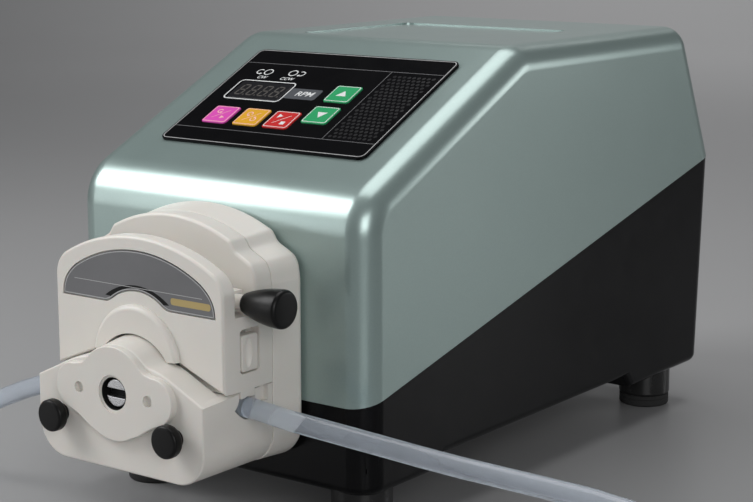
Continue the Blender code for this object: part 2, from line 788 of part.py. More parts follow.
def make_rear_housing():
    """The fixed rear housing, widening towards the drive."""
    housing = slab(
        "rear_housing",
        [high_outline(HEAD_BOTTOM, HEAD_CORNER_R)],
        HEAD_SEAM,
        -GAP,
        "front",
        "ivory",
    )
    for vert in housing.data.vertices:
        part = (vert.co.y - HEAD_SEAM) / (-GAP - HEAD_SEAM)
        vert.co.x *= 1 + FLARE_SIDE * part
        if vert.co.z > FLARE_Z:
            vert.co.z = FLARE_Z + (vert.co.z - FLARE_Z) * (1 + FLARE_HIGH * part)
    centre = (0, AXIS_Z)
    cut(
        housing,
        rod("rear_bearing_seat", centre, 13 * MM, HEAD_SEAM - 4 * MM, -8 * MM),
        rod("rear_shaft_hole", centre, 9.5 * MM, -20 * MM, 5 * MM),
    )
    for index, place in enumerate(head_screw_places()):
        cut(
            housing,
            rod(f"screw_hole_{index}", place, 2.4 * MM, -20 * MM, 5 * MM, sides=16),
            rod(f"screw_head_hole_{index}", place, 4.6 * MM, -20 * MM, -11 * MM, sides=20),
        )
    smooth(housing)
    ring("rear_bearing", 12.7 * MM, SHAFT_R + GAP, -15.7 * MM, -8.4 * MM)
    for index, (x, z) in enumerate(head_screw_places()):
        screw = rod(f"head_screw_{index + 1}", (x, z), 4 * MM, -15.2 * MM, -11.4 * MM, "Y", "steel", 20)
        stem = rod(f"screw_stem_{index}", (x, z), 2 * MM, -12 * MM, 5.5 * MM, sides=16)
        socket = rod(f"screw_socket_{index}", (x, z), 2 * MM, -17 * MM, -13 * MM, sides=6)
        fuse(screw, stem)
        cut(screw, socket)
        smooth(screw)


def ring(name, outer, inner, low, high, sides=40):
    """A plain bearing ring about the rotor's axis."""
    made = rod(name, (0, AXIS_Z), outer, low, high, "Y", "steel", sides)
    hole = rod(name + "_hole", (0, AXIS_Z), inner, low - 3 * MM, high + 3 * MM, sides=sides)
    cut(made, hole)
    return smooth(made)


def make_lower_block():
    low = slab(
        "lower_block", [front_outline()], LOWER_FRONT, HEAD_SEAM - GAP, "front", "ivory"
    )
    boss = slab("boss_plate", [boss_outline()], BOSS_FRONT, LOWER_FRONT + 2 * MM, "front")
    step = block(
        "face_relief",
        (-60 * MM, UPPER_FRONT + GAP, SPLIT_Z - 0.2 * MM),
        (60 * MM, -10 * MM, 100 * MM),
    )
    fuse(low, boss)
    centre = (0, AXIS_Z)
    cut(
        low,
        step,
        rod("rotor_room_low", centre, 26.5 * MM, -41 * MM, -21 * MM, sides=48),
        rod("boss_hole", centre, 6.5 * MM, -70 * MM, -40 * MM),
        rod("front_bearing_seat", centre, 11.2 * MM, -50 * MM, -38 * MM, sides=40),
        rod("low_shaft_notch", centre, 7.5 * MM, -25 * MM, -10 * MM),
        block(
            "tube_relief_low",
            (-33 * MM, CAVITY_FRONT, 60 * MM),
            (33 * MM, CAVITY_REAR, 75 * MM),
        ),
    )
    for side in (-1, 1):
        name = "left" if side < 0 else "right"
        cut(
            low,
            tube_room(f"tube_groove_{name}", side),
            block_at(f"tube_slot_{name}", (side * 44 * MM, TUBE_Y, 68 * MM), (24 * MM, 9.2 * MM, 14.8 * MM)),
            tube_mouth(f"tube_mouth_{name}", side),
            block_at(
                f"side_notch_{name}",
                (side * 45.3 * MM, -21.2 * MM, 65 * MM),
                (10 * MM, 5.5 * MM, 8 * MM),
            ),
            rod(
                f"thumb_hole_{name}",
                (side * THUMB_X, THUMB_Z),
                2.5 * MM,
                -60 * MM,
                -38 * MM,
                sides=16,
            ),
            rod(f"rod_hole_{name}", (side * 37 * MM, -22 * MM), 2.8 * MM, 49.5 * MM, 75 * MM, "Z", sides=20),
            rod(
                f"ear_hole_{name}",
                (side * 18.2 * MM, AXIS_Z),
                2.1 * MM,
                -62 * MM,
                -56.8 * MM,
                sides=16,
            ),
        )
        rod(f"guide_rod_{name}", (side * 37 * MM, -22 * MM), 2.5 * MM, 50 * MM, 100 * MM, "Z", "steel", 20)
    smooth(low)
    ring("front_bearing", 10.9 * MM, SHAFT_R + GAP, -49.6 * MM, -44.6 * MM)


def block_at(name, centre, size):
    """A cutter box given by its middle and its size."""
    low = [centre[i] - size[i] / 2 for i in range(3)]
    high = [centre[i] + size[i] / 2 for i in range(3)]
    return block(name, low, high)


def tube_mouth(name, side):
    """The flared opening around the tube in the side face."""
    outline = [(-38 * MM, 60.6 * MM), (-32 * MM, 56 * MM), (-30 * MM, 56 * MM), (-26 * MM, 60.6 * MM)]
    outline += [(-26.4 * MM, 75 * MM), (-35.6 * MM, 75 * MM), (-35.6 * MM, 64 * MM)]
    low, high = sorted((side * 41 * MM, side * 50 * MM))
    return slab(name, [outline], low, high, "side")


# ---------------------------------------------------------------- tubing
BEND_R = 16.6 * MM
BEND_X = 42.9 * MM
BEND_TURN = 74


def head_path():
    """Middle line of the tube held in the head, right to left, with how flat it is at each point."""
    path = [(PORT_X, TUBE_EXIT_Z, 0.0)]
    for step in range(9):
        angle = math.radians(-90 - BEND_TURN * step / 8)
        flat = max(0.0, (step - 4) / 4)
        x = BEND_X + BEND_R * math.cos(angle)
        z = TUBE_EXIT_Z + BEND_R + BEND_R * math.sin(angle)
        path.append((x, z, flat))
    end_x, end_z, _ = path[-1]
    radius = math.hypot(end_x, end_z - AXIS_Z)
    start = math.atan2(end_z - AXIS_Z, end_x)
    for step in range(1, 13):
        angle = start + (math.pi / 2 - start) * step / 12
        eased = radius + (TUBE_ARCH_R - radius) * min(1.0, step / 2)
        path.append((eased * math.cos(angle), AXIS_Z + eased * math.sin(angle), 1.0))
    return path + [(-x, z, flat) for x, z, flat in reversed(path[:-1])]


def make_head_tube(sides=20):
    """A tube that is round at its two ends and squeezed flat around the rollers."""
    path = head_path()
    bm = bmesh.new()
    rings = []
    for index, (x, z, flat) in enumerate(path):
        before = path[max(index - 1, 0)]
        after = path[min(index + 1, len(path) - 1)]
        along = Vector((after[0] - before[0], 0, after[1] - before[1])).normalized()
        if index in (0, len(path) - 1):
            along = Vector((-1, 0, 0))
        across = Vector((-along.z, 0, along.x))
        thick = TUBE_R + (TUBE_FLAT_HALF - TUBE_R) * flat
        wide = TUBE_R + (TUBE_FLAT_WIDE - TUBE_R) * flat
        circle = []
        for step in range(sides):
            angle = 2 * math.pi * step / sides
            offset = across * thick * math.cos(angle) + Vector((0, wide * math.sin(angle), 0))
            circle.append(bm.verts.new(Vector((x, TUBE_Y, z)) + offset))
        rings.append(circle)
    for near, far in zip(rings, rings[1:]):
        for step in range(sides):
            following = (step + 1) % sides
            bm.faces.new((near[step], near[following], far[following], far[step]))
    bm.faces.new(rings[0])
    bm.faces.new(rings[-1])
    bmesh.ops.recalc_face_normals(bm, faces=bm.faces)
    return smooth(add_object("tube_in_head", mesh_from(bm, "tube_in_head"), "tubing"), 60)


def tube_room(name, side):
    """A cutter with running clearance around the tube from the side face to the rollers."""
    path = [(side * x, TUBE_Y, z) for x, z, _ in head_path()[1:9]]
    path.insert(0, (side * 60 * MM, TUBE_Y, TUBE_EXIT_Z))
    return sweep(name, path, TUBE_R + 0.6 * MM, sides=3)


# ---------------------------------------------------------------- pump head, moving block
def arch_outline():
    """The front of the moving block: a low arch over sloping edges and a round opening."""
    right = arc(0, 44 * MM, 80 * MM, 90, 61.14, 7)
    right += arc(33.3 * MM, 104.43 * MM, 11 * MM, 61.14, 0, 5)[1:]
    right.append(Vector((BLOCK_HALF, 67.9 * MM)))
    right.append(Vector((21.2 * MM, 77 * MM)))
    right += arc(0, AXIS_Z, 20 * MM, 37.5, 90, 6)
    return mirrored(right)


def pad_outline():
    """The raised band over the round opening."""
    return mirrored(arc(0, 75 * MM, 22.4 * MM, 90, 7, 8))


def label_outline(shrink):
    """The curved nameplate, drawn inwards by the given amount."""
    right = arc(0, 54.2 * MM, 64.5 * MM - shrink, 90, 57.5, 5)
    for x, z in ((37.2, 105.9), (39.2, 102.9), (40.3, 99.6)):
        right.append(Vector((x * MM - shrink, z * MM - shrink * 0.6)))
    right.append(Vector((40.5 * MM - shrink, 96.6 * MM + shrink)))
    right.append(Vector((16.8 * MM, 96.6 * MM + shrink)))
    right += arc(0, 80.3 * MM, 22.1 * MM + shrink, 53, 90, 5)
    return mirrored(right)


def make_upper_block():
    face = slab("upper_block", [arch_outline()], UPPER_FRONT, CHANNEL_FRONT, "front", "ivory")
    bed = block(
        "upper_bed",
        (-BLOCK_HALF, -41 * MM, SPLIT_Z + GAP),
        (BLOCK_HALF, HEAD_SEAM - GAP - MM, CHANNEL_FLOOR),
    )
    back = slab(
        "upper_back", [high_outline(SPLIT_Z + GAP, 0)], CHANNEL_REAR, HEAD_SEAM - GAP, "front"
    )
    pad = slab("arch_pad", [pad_outline()], UPPER_FRONT - 2.3 * MM, UPPER_FRONT + 2 * MM, "front")
    fuse(face, bed, back, pad)
    for side in (-1, 1):
        centre = (side * 42.75 * MM, TUBE_Y, 67.7 * MM)
        fuse(face, block_at(f"slot_tongue_{side}", centre, (2.9 * MM, 8 * MM, 4.6 * MM)))
    centre = (0, AXIS_Z)
    cut(
        face,
        rod("rotor_room_high", centre, TRACK_R, CAVITY_FRONT, CAVITY_REAR, sides=64),
        block(
            "tube_relief_high",
            (-33 * MM, CAVITY_FRONT, 60 * MM),
            (33 * MM, CAVITY_REAR, 80 * MM),
        ),
        rod("arch_opening", centre, 21 * MM, -52 * MM, -39 * MM, sides=48),
        rod("high_shaft_notch", centre, 7.5 * MM, -25 * MM, -10 * MM),
        rod("lever_bore", (0, PIVOT_Z), 3.4 * MM, -40 * MM, -20 * MM, sides=24),
        slab("label_recess", [label_outline(0)], -50 * MM, UPPER_FRONT + 1.2 * MM, "front"),
    )
    for side in (-1, 1):
        name = "left" if side < 0 else "right"
        cut(
            face,
            tube_room(f"tube_room_{name}", side),
            block_at(f"high_slot_{name}", (side * 36.6 * MM, TUBE_Y, 66 * MM), (9.2 * MM, 9.2 * MM, 6 * MM)),
            block_at(
                f"retainer_pocket_{name}",
                (side * 45 * MM, -29.5 * MM, 82.9 * MM),
                (10 * MM, 11.4 * MM, 17.4 * MM),
            ),
            block_at(
                f"retainer_channel_{name}",
                (side * 38.9 * MM, -31 * MM, 75.8 * MM),
                (4.2 * MM, 8.4 * MM, 31.6 * MM),
            ),
            rod(
                f"rod_bore_{name}",
                (side * 37 * MM, -22 * MM),
                2.8 * MM,
                60 * MM,
                102 * MM,
                "Z",
                sides=20,
            ),
        )
        make_retainer(side, name)
    smooth(face)
    slab(
        "label_plate",
        [label_outline(0.5 * MM)],
        UPPER_FRONT + 0.1 * MM,
        UPPER_FRONT + 0.9 * MM,
        "front",
        "dark_label",
    )


def make_retainer(side, name):
    """A sliding tube retainer: a pad in the side pocket and a stem reaching down to the tube."""
    centre = (side * 42.1 * MM, -29.5 * MM, 81.8 * MM)
    pad = block_at(f"retainer_{name}", centre, (3.2 * MM, 10.4 * MM, 14.4 * MM))
    stem = block_at(
        f"retainer_stem_{name}", (side * 39 * MM, -31 * MM, 77.6 * MM), (3.4 * MM, 7.4 * MM, 22.6 * MM)
    )
    PARTS.objects.link(pad)
    CUTTERS.objects.unlink(pad)
    pad.hide_render = False
    pad.display_type = "TEXTURED"
    pad.data.materials.append(material(pad.name + "_finish", COLOURS["ivory"]))
    fuse(pad, stem)
    return pad


def make_lever():
    """The clamp lever, lying to the right in its channel with its pin through the moving block."""
    pivot = (0, -32.5 * MM, PIVOT_Z)
    half = 4.3 * MM
    outline = arc(0, 0, 4.6 * MM, 100, 260, 8)
    outline += [Vector((12 * MM, -4.2 * MM)), Vector((40 * MM, -3.6 * MM))]
    outline += [Vector((40 * MM, 4.2 * MM)), Vector((12 * MM, 4.6 * MM))]
    arm = slab("lever_arm", [outline], -half, half, "front", "ivory")
    pin = rod("lever_pin", (0, 0), 3 * MM, -4 * MM, 11.6 * MM, sides=24)
    stub = rod("lever_stub", (0, 0.2 * MM), 3.2 * MM, 38 * MM, 45 * MM, "X", sides=24)
    arm.location = pivot
    for other in (pin, stub):
        other.location = Vector(other.location) + Vector(pivot)
    fuse(arm, pin, stub)
    smooth(arm)
    profile = [
        (0, 65.2),
        (5.2, 65.2),
        (6.8, 64.4),
        (7.5, 62.4),
        (7.2, 57.7),
        (6.4, 53.5),
        (5.3, 49),
        (4.3, 45.6),
        (3.9, 45.2),
        (0, 45.2),
    ]
    knob = turned(
        "lever_knob",
        [(radius * MM, height * MM) for radius, height in profile],
        (0, pivot[1], PIVOT_Z + 0.2 * MM),
        (0, math.radians(90), 0),
        "black_gloss",
    )
    smooth(knob)


# ---------------------------------------------------------------- rotor
def make_rotor():
    centre = (0, AXIS_Z)
    carrier = rod("rotor_carrier", centre, 23.6 * MM, -39.7 * MM, -37.7 * MM, "Y", "steel", 40)
    rear_plate = rod("rear_plate", centre, 23.6 * MM, -24.3 * MM, -22.3 * MM, sides=40)
    hub = rod("rotor_hub", centre, 8.6 * MM, -39 * MM, -23 * MM, sides=32)
    fuse(carrier, rear_plate, hub)
    for index in range(3):
        x, z = roller_place(index)
        axle = rod(f"axle_{index}", (x, z), 2.2 * MM, -39 * MM, -23 * MM, sides=16)
        fuse(carrier, axle)
        roller = rod(f"roller_{index + 1}", (x, z), ROLLER_R, ROLLER_FRONT, ROLLER_REAR, "Y", "roller")
        cut(roller, rod(f"roller_bore_{index}", (x, z), 2.6 * MM, -45 * MM, -15 * MM, sides=16))
        smooth(roller)
    cut(carrier, rod("carrier_bore", centre, SHAFT_R + GAP, -45 * MM, -15 * MM))
    smooth(carrier)
    shaft = rod("rotor_shaft", centre, SHAFT_R, SHAFT_FRONT, SHAFT_REAR, "Y", "steel")
    cut(
        shaft,
        block_at("shaft_slot", (0, SHAFT_FRONT, AXIS_Z), (16 * MM, 6 * MM, 3.4 * MM)),
    )
    smooth(shaft)
    coupling = rod("motor_coupling", centre, 8 * MM, SHAFT_REAR + GAP, 9.3 * MM, "Y", "steel")
    motor_shaft = rod("motor_shaft", centre, 4.5 * MM, 9 * MM, MOTOR_FRONT + 24 * MM, sides=24)
    fuse(coupling, motor_shaft)
    smooth(coupling)


def roller_place(index):
    angle = math.radians(90 + 120 * index)
    return ROLLER_PITCH * math.cos(angle), AXIS_Z + ROLLER_PITCH * math.sin(angle)


def make_thumb_screws():
    for side in (-1, 1):
        name = "left" if side < 0 else "right"
        profile = [
            (0, 64),
            (4.6, 64),
            (6, 63.2),
            (6.5, 61.8),
            (6.5, 60.2),
            (5.8, 59),
            (3.5, 58.6),
            (3.5, 56.3),
            (0, 56.3),
        ]
        knob = turned(
            f"thumb_knob_{name}",
            [(radius * MM, height * MM) for radius, height in profile],
            (side * THUMB_X, 0, THUMB_Z),
            (math.radians(90), 0, 0),
            "black_gloss",
            28,
        )
        smooth(knob)
        rod(
            f"thumb_stud_{name}",
            (side * THUMB_X, THUMB_Z),
            2 * MM,
            -56 * MM,
            -39.5 * MM,
            "Y",
            "steel",
            16,
        )


# ---------------------------------------------------------------- loose tubing
TUBE_STEP = 17 * MM
RIGHT_AIR = [
    (60, -30, 58.8),
    (88, -24, 55),
    (127, -15, 49.4),
    (168, -10, 46.6),
    (200, -9.5, 44.5),
    (226, -13, 36),
    (242, -22, 22),
    (250, -36, 9),
]
RIGHT_LOOP = (198, -55, 53, 4, -182)
LEFT_AIR = [(-57, -31, 56), (-83, -31, 46.4), (-114, -31, 32), (-138, -31.5, 17), (-158, -33, 7)]
LEFT_LOOP = (-180, -88, 53, 88, 262)


def route(side, air, loop):
    """A loose tube: out of the port, down through the air and round an arc on the floor."""
    x, y, radius, start, end = loop
    port = Vector((side * (PORT_X / MM + 0.3), TUBE_Y / MM, TUBE_EXIT_Z / MM))
    floor = arc(x, y, radius, start, end, 8)
    places = [port + Vector((side * 3, 0, 0))] + [Vector(place) for place in air]
    places += [Vector((point[0], point[1], TUBE_R / MM + 0.1)) for point in floor]
    length = sum((after - before).length for before, after in zip(places, places[1:]))
    count = round(length * MM / TUBE_STEP) + 1
    return [port * MM] + [place * MM for place in smooth_curve(places, count)]


def make_loose_tubes():
    for name, points in (
        ("tube_right", route(1, RIGHT_AIR, RIGHT_LOOP)),
        ("tube_left", route(-1, LEFT_AIR, LEFT_LOOP)),
    ):
        smooth(sweep(name, points, TUBE_R, "tubing"), 60)


def build():
    make_upper_shell()
    make_lower_base()
    make_feet()
    make_panel()
    make_rear_fittings()
    make_internals()
    make_rear_housing()
    make_lower_block()
    make_head_tube()
    make_loose_tubes()
    make_upper_block()
    make_lever()
    make_rotor()
    make_thumb_screws()


build()
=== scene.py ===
"""Looks for the bench peristaltic pump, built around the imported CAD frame.

Shapes are drawn in millimetres about a datum: X from the middle, Y back from the drive's front wall and
Z up from the floor. place() turns that into the row frame.
"""

import math

import bmesh
import bpy
from mathutils import Matrix, Vector


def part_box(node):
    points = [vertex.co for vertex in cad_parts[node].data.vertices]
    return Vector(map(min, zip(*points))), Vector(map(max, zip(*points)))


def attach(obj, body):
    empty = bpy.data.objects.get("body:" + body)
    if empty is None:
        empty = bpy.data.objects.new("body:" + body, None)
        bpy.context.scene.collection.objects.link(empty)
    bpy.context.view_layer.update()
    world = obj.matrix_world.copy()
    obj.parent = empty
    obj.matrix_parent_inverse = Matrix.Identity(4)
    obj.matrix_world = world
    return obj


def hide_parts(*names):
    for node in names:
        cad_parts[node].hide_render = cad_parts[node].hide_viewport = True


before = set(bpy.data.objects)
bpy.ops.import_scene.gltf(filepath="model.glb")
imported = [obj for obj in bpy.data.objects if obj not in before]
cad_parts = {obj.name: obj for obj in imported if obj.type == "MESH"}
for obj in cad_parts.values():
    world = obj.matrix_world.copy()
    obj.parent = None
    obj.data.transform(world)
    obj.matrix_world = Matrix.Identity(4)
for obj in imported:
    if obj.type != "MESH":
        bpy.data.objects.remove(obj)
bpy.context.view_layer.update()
MM = 0.001
FRONT_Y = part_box("upper_shell")[0].y
TO_ROW = Matrix.Translation((0, FRONT_Y, 0)) @ Matrix.Diagonal((MM, MM, MM, 1))


def place(x, y, z):
    return Vector((x * MM, y * MM + FRONT_Y, z * MM))



def placed(name, data):
    """A new object in the scene, holding the given data."""
    made = bpy.data.objects.new(name, data)
    bpy.context.scene.collection.objects.link(made)
    return made


# ---- camera
CAMERA_AZIMUTH = 36.701
CAMERA_ELEVATION = 10.933
CAMERA_AT = (488.472, -545.036, 252.336)
LENS = 87.985

camera_data = bpy.data.cameras.new("camera")
camera_data.lens = LENS
camera_data.sensor_width = 36
camera = placed("camera", camera_data)
camera.location = place(*CAMERA_AT)
camera.rotation_euler = (math.radians(90 - CAMERA_ELEVATION), 0, math.radians(CAMERA_AZIMUTH))
bpy.context.scene.camera = camera


# ---- outline helpers
def arc(u, v, radius, start, end, steps):
    """Points on a circle between two angles in degrees."""
    angles = [math.radians(start + (end - start) * step / steps) for step in range(steps + 1)]
    return [Vector((u + radius * math.cos(a), v + radius * math.sin(a))) for a in angles]


def rounded(corners, steps=8):
    """Corner points (u, v, radius) joined by straight lines, each corner turned into an arc."""
    outline = []
    count = len(corners)
    for index, (u, v, radius) in enumerate(corners):
        here = Vector((u, v))
        if radius <= 0:
            outline.append(here)
            continue
        before = (Vector(corners[index - 1][:2]) - here).normalized()
        after = (Vector(corners[(index + 1) % count][:2]) - here).normalized()
        half = before.angle(after) / 2
        reach = radius / math.tan(half)
        centre = here + (before + after).normalized() * (radius / math.sin(half))
        start = here + before * reach - centre
        end = here + after * reach - centre
        turn = start.angle_signed(end)
        for step in range(steps + 1):
            outline.append(centre + Matrix.Rotation(-turn * step / steps, 2) @ start)
    return outline


def mirrored(right_half):
    left_half = [Vector((-u, v)) for u, v in reversed(right_half) if u > 1e-6]
    return list(right_half) + left_half


def box_outline(u, v, width, height, radius, steps=6):
    w, h = width / 2, height / 2
    corners = [(u - w, v - h), (u + w, v - h), (u + w, v + h), (u - w, v + h)]
    return rounded([(a, b, radius) for a, b in corners], steps)


# ---- solid helpers
VIEWS = {
    "front": Matrix(((1, 0, 0, 0), (0, 0, 1, 0), (0, 1, 0, 0), (0, 0, 0, 1))),
    "side": Matrix(((0, 0, 1, 0), (1, 0, 0, 0), (0, 1, 0, 0), (0, 0, 0, 1))),
    "plan": Matrix.Identity(4),
}


def bevel(bm, edges, offset, segments):
    bmesh.ops.bevel(bm, geom=edges, offset=offset, segments=segments, profile=0.5, affect="EDGES")
    bm.normal_update()


def prism(outline, low, high, view, soft_low=0.0, soft_high=0.0, segments=4):
    """An outline pushed between two depths of a view, with either end's rim rounded."""
    bm = bmesh.new()
    near = [bm.verts.new((p[0], p[1], low)) for p in outline]
    far = [bm.verts.new((p[0], p[1], high)) for p in outline]
    count = len(outline)
    low_face = bm.faces.new(near)
    high_face = bm.faces.new(far)
    for index in range(count):
        after = (index + 1) % count
        bm.faces.new((near[index], near[after], far[after], far[index]))
    bmesh.ops.recalc_face_normals(bm, faces=bm.faces)
    for face, soft in ((low_face, soft_low), (high_face, soft_high)):
        if soft:
            bevel(bm, list(face.edges), soft, segments)
    bmesh.ops.transform(bm, matrix=VIEWS[view], verts=bm.verts)
    bmesh.ops.recalc_face_normals(bm, faces=bm.faces)
    return bm


def flat(outline, height=0.02):
    """A thin plate drawn in plan, for print."""
    return prism(outline, 0, height, "plan")


def box(low, high, soft=0.0):
    bm = bmesh.new()
    bmesh.ops.create_cube(bm, size=1)
    size = [high[i] - low[i] for i in range(3)]
    centre = Vector([(high[i] + low[i]) / 2 for i in range(3)])
    turn = Matrix.Translation(centre) @ Matrix.Diagonal((*size, 1))
    bmesh.ops.transform(bm, matrix=turn, verts=bm.verts)
    if soft:
        bevel(bm, list(bm.edges), soft, 3)
    return bm


AXES = {
    "Z": Matrix.Identity(4),
    "Y": Matrix.Rotation(math.radians(90), 4, "X"),
    "X": Matrix.Rotation(math.radians(90), 4, "Y"),
}


def lathe(profile, at=(0, 0, 0), axis="Z", steps=64):
    """A turned solid from (radius, height) points. Along Y, heights run towards the front."""
    bm = bmesh.new()
    rings = []
    for radius, height in profile:
        if radius < 1e-6:
            rings.append([bm.verts.new((0, 0, height))])
            continue
        angles = [2 * math.pi * step / steps for step in range(steps)]
        rings.append(
            [bm.verts.new((radius * math.cos(a), radius * math.sin(a), height)) for a in angles]
        )
    for one, two in zip(rings, rings[1:]):
        for step in range(steps):
            after = (step + 1) % steps
            corners = [one[step % len(one)], one[after % len(one)]]
            corners += [two[after % len(two)], two[step % len(two)]]
            unique = list(dict.fromkeys(corners))
            if len(unique) > 2:
                bm.faces.new(unique)
    for ring in (rings[0], rings[-1]):
        if len(ring) > 2:
            bm.faces.new(ring)
    bmesh.ops.transform(bm, matrix=Matrix.Translation(at) @ AXES[axis], verts=bm.verts)
    bmesh.ops.recalc_face_normals(bm, faces=bm.faces)
    return bm


def rod(centre, radius, low, high, axis="Y", steps=48):
    """A plain round bar along Y or Z, used for bores and pins."""
    if axis == "Y":
        return lathe([(radius, -high), (radius, -low)], (centre[0], 0, centre[1]), "Y", steps)
    return lathe([(radius, low), (radius, high)], (*centre, 0), "Z", steps)


def soft_profile(radius, low, high, soft, steps=5):
    """A lathe profile for a disc whose two rims are rounded."""
    lower = arc(radius - soft, low + soft, soft, -90, 0, steps)
    upper = arc(radius - soft, high - soft, soft, 0, 90, steps)
    return [(0, low)] + [tuple(p) for p in lower + upper] + [(0, high)]


def sweep(points, radii, sides=24):
    """A closed tube along points in an XZ plane; each radius is (in that plane, along Y)."""
    bm = bmesh.new()
    across = Vector((0, 1, 0))
    rings = []
    for index, point in enumerate(points):
        before = points[max(index - 1, 0)]
        after = points[min(index + 1, len(points) - 1)]
        along = (Vector(after) - Vector(before)).normalized()
        up = along.cross(across).normalized()
        ring = []
        for step in range(sides):
            angle = 2 * math.pi * step / sides
            offset = up * radii[index][0] * math.cos(angle)
            offset += across * radii[index][1] * math.sin(angle)
            ring.append(bm.verts.new(Vector(point) + offset))
        rings.append(ring)
    for one, two in zip(rings, rings[1:]):
        for step in range(sides):
            after = (step + 1) % sides
            bm.faces.new((one[step], one[after], two[after], two[step]))
    bm.faces.new(rings[0])
    bm.faces.new(rings[-1])
    bmesh.ops.recalc_face_normals(bm, faces=bm.faces)
    return bm


def soften(made, angle):
    """Smooth shading over edges flatter than the angle, with large faces kept flat."""
    made.data.shade_smooth()
    made.data.set_sharp_from_angle(angle=math.radians(angle))
    weigh = made.modifiers.new("weighted", "WEIGHTED_NORMAL")
    weigh.keep_sharp = True
    weigh.weight = 90


def to_object(name, bm, smooth=30):
    bmesh.ops.transform(bm, matrix=TO_ROW, verts=bm.verts)
    mesh = bpy.data.meshes.new(name)
    bm.to_mesh(mesh)
    bm.free()
    made = placed(name, mesh)
    if smooth:
        soften(made, smooth)
    return made


def evaluated_mesh(made):
    """The object's mesh with its modifiers or lettering worked out."""
    bpy.context.view_layer.update()
    graph = bpy.context.evaluated_depsgraph_get()
    return bpy.data.meshes.new_from_object(made.evaluated_get(graph))


def cut(*solids):
    return [("cut", solid) for solid in solids]


def add(*solids):
    return [("add", solid) for solid in solids]


EASED_ABOVE = 35


def shaped(name, base, steps, smooth=30, ease_by=0.0):
    """A base solid with cut and add steps applied, then its sharp edges eased."""
    made = to_object(name, base, smooth=0)
    tools = []
    for index, (kind, solid) in enumerate(steps):
        tool = to_object(f"{name}_tool_{index}", solid, smooth=0)
        tools.append(tool)
        step = made.modifiers.new(f"step_{index}", "BOOLEAN")
        step.operation = "DIFFERENCE" if kind == "cut" else "UNION"
        step.solver = "EXACT"
        step.object = tool
    if ease_by:
        ease = made.modifiers.new("ease", "BEVEL")
        ease.width = ease_by * MM
        ease.segments = 2
        ease.limit_method = "ANGLE"
        ease.angle_limit = math.radians(EASED_ABOVE)
        ease.use_clamp_overlap = False
    mesh = evaluated_mesh(made)
    made.modifiers.clear()
    made.data = mesh
    for tool in tools:
        bpy.data.objects.remove(tool, do_unlink=True)
    bm = bmesh.new()
    bm.from_mesh(mesh)
    bmesh.ops.remove_doubles(bm, verts=bm.verts, dist=2e-6)
    bm.to_mesh(mesh)
    bm.free()
    if smooth:
        soften(made, smooth)
    return made


def dress(made, look, body, slot, *nodes):
    """Gives a piece its material and body and hides the CAD nodes it stands for; the slot is not used."""
    made.data.materials.clear()
    made.data.materials.append(look)
    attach(made, body)
    if nodes:
        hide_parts(*nodes)


def stand_in(made, look, node, body="drive"):
    """Dresses a piece that stands for one CAD node."""
    dress(made, look, body, node, node)


# ---- materials
class Look:
    """A node material with its shader's plain values set and colour, roughness and bump from noise."""

    def __init__(self, name, colour, roughness=0.5, **values):
        self.material = bpy.data.materials.new(name)
        self.material.use_nodes = True
        self.tree = self.material.node_tree
        self.shader = self.tree.nodes["Principled BSDF"]
        self.colour = colour
        self.roughness = roughness
        self.set("Base Color", (*colour, 1))
        self.set("Roughness", roughness)
        for key, value in values.items():
            self.set(key.replace("_", " "), value)
        self.coords = self.add("ShaderNodeTexCoord").outputs["Object"]
        self.bump = None

    def set(self, socket, value):
        self.shader.inputs[socket].default_value = value

    def add(self, kind, **values):
        node = self.tree.nodes.new(kind)
        for key, value in values.items():
            setattr(node, key, value)
        return node

    def link(self, out, into):
        self.tree.links.new(out, into)

    def noise(self, scale, detail=3.0, roughness=0.5, stretch=None):
        """A noise field; scale is in features per metre."""
        node = self.add("ShaderNodeTexNoise")
        node.inputs["Scale"].default_value = scale
        node.inputs["Detail"].default_value = detail
        node.inputs["Roughness"].default_value = roughness
        source = self.coords
        if stretch:
            mapping = self.add("ShaderNodeMapping")
            mapping.inputs["Scale"].default_value = stretch
            self.link(source, mapping.inputs["Vector"])
            source = mapping.outputs["Vector"]
        self.link(source, node.inputs["Vector"])
        return node.outputs["Fac"]

    def ramp(self, source, low, high, value_low, value_high):
        node = self.add("ShaderNodeMapRange")
        node.inputs["From Min"].default_value = low
        node.inputs["From Max"].default_value = high
        node.inputs["To Min"].default_value = value_low
        node.inputs["To Max"].default_value = value_high
        self.link(source, node.inputs["Value"])
        return node.outputs["Result"]

    def vary_colour(self, source, darker, lighter, low=0.35, high=0.65):
        """Blends the base colour between two multiples of itself."""
        mix = self.add("ShaderNodeMix", data_type="RGBA")
        mix.inputs["A"].default_value = (*[c * darker for c in self.colour], 1)
        mix.inputs["B"].default_value = (*[min(1, c * lighter) for c in self.colour], 1)
        self.link(self.ramp(source, low, high, 0, 1), mix.inputs["Factor"])
        self.link(mix.outputs["Result"], self.shader.inputs["Base Color"])
        return self

    def vary_roughness(self, source, spread, low=0.3, high=0.7):
        out = self.ramp(source, low, high, self.roughness - spread, self.roughness + spread)
        self.link(out, self.shader.inputs["Roughness"])
        return self

    def rough(self, source, height_mm):
        """Adds a bump of the given height on top of any bump already there."""
        node = self.add("ShaderNodeBump")
        node.inputs["Distance"].default_value = height_mm * MM
        self.link(source, node.inputs["Height"])
        if self.bump:
            self.link(self.bump, node.inputs["Normal"])
        self.bump = node.outputs["Normal"]
        self.link(self.bump, self.shader.inputs["Normal"])
        return self


def paint(name, colour, roughness, **values):
    """Satin paint with a fine metallic flake and a faint unevenness."""
    look = Look(name, colour, roughness, **values)
    look.vary_colour(look.noise(1500, 1), 0.985, 1.015)
    look.vary_roughness(look.noise(60, 4), 0.015)
    look.rough(look.noise(300, 2), 0.002).rough(look.noise(45, 2), 0.012)
    return look.material


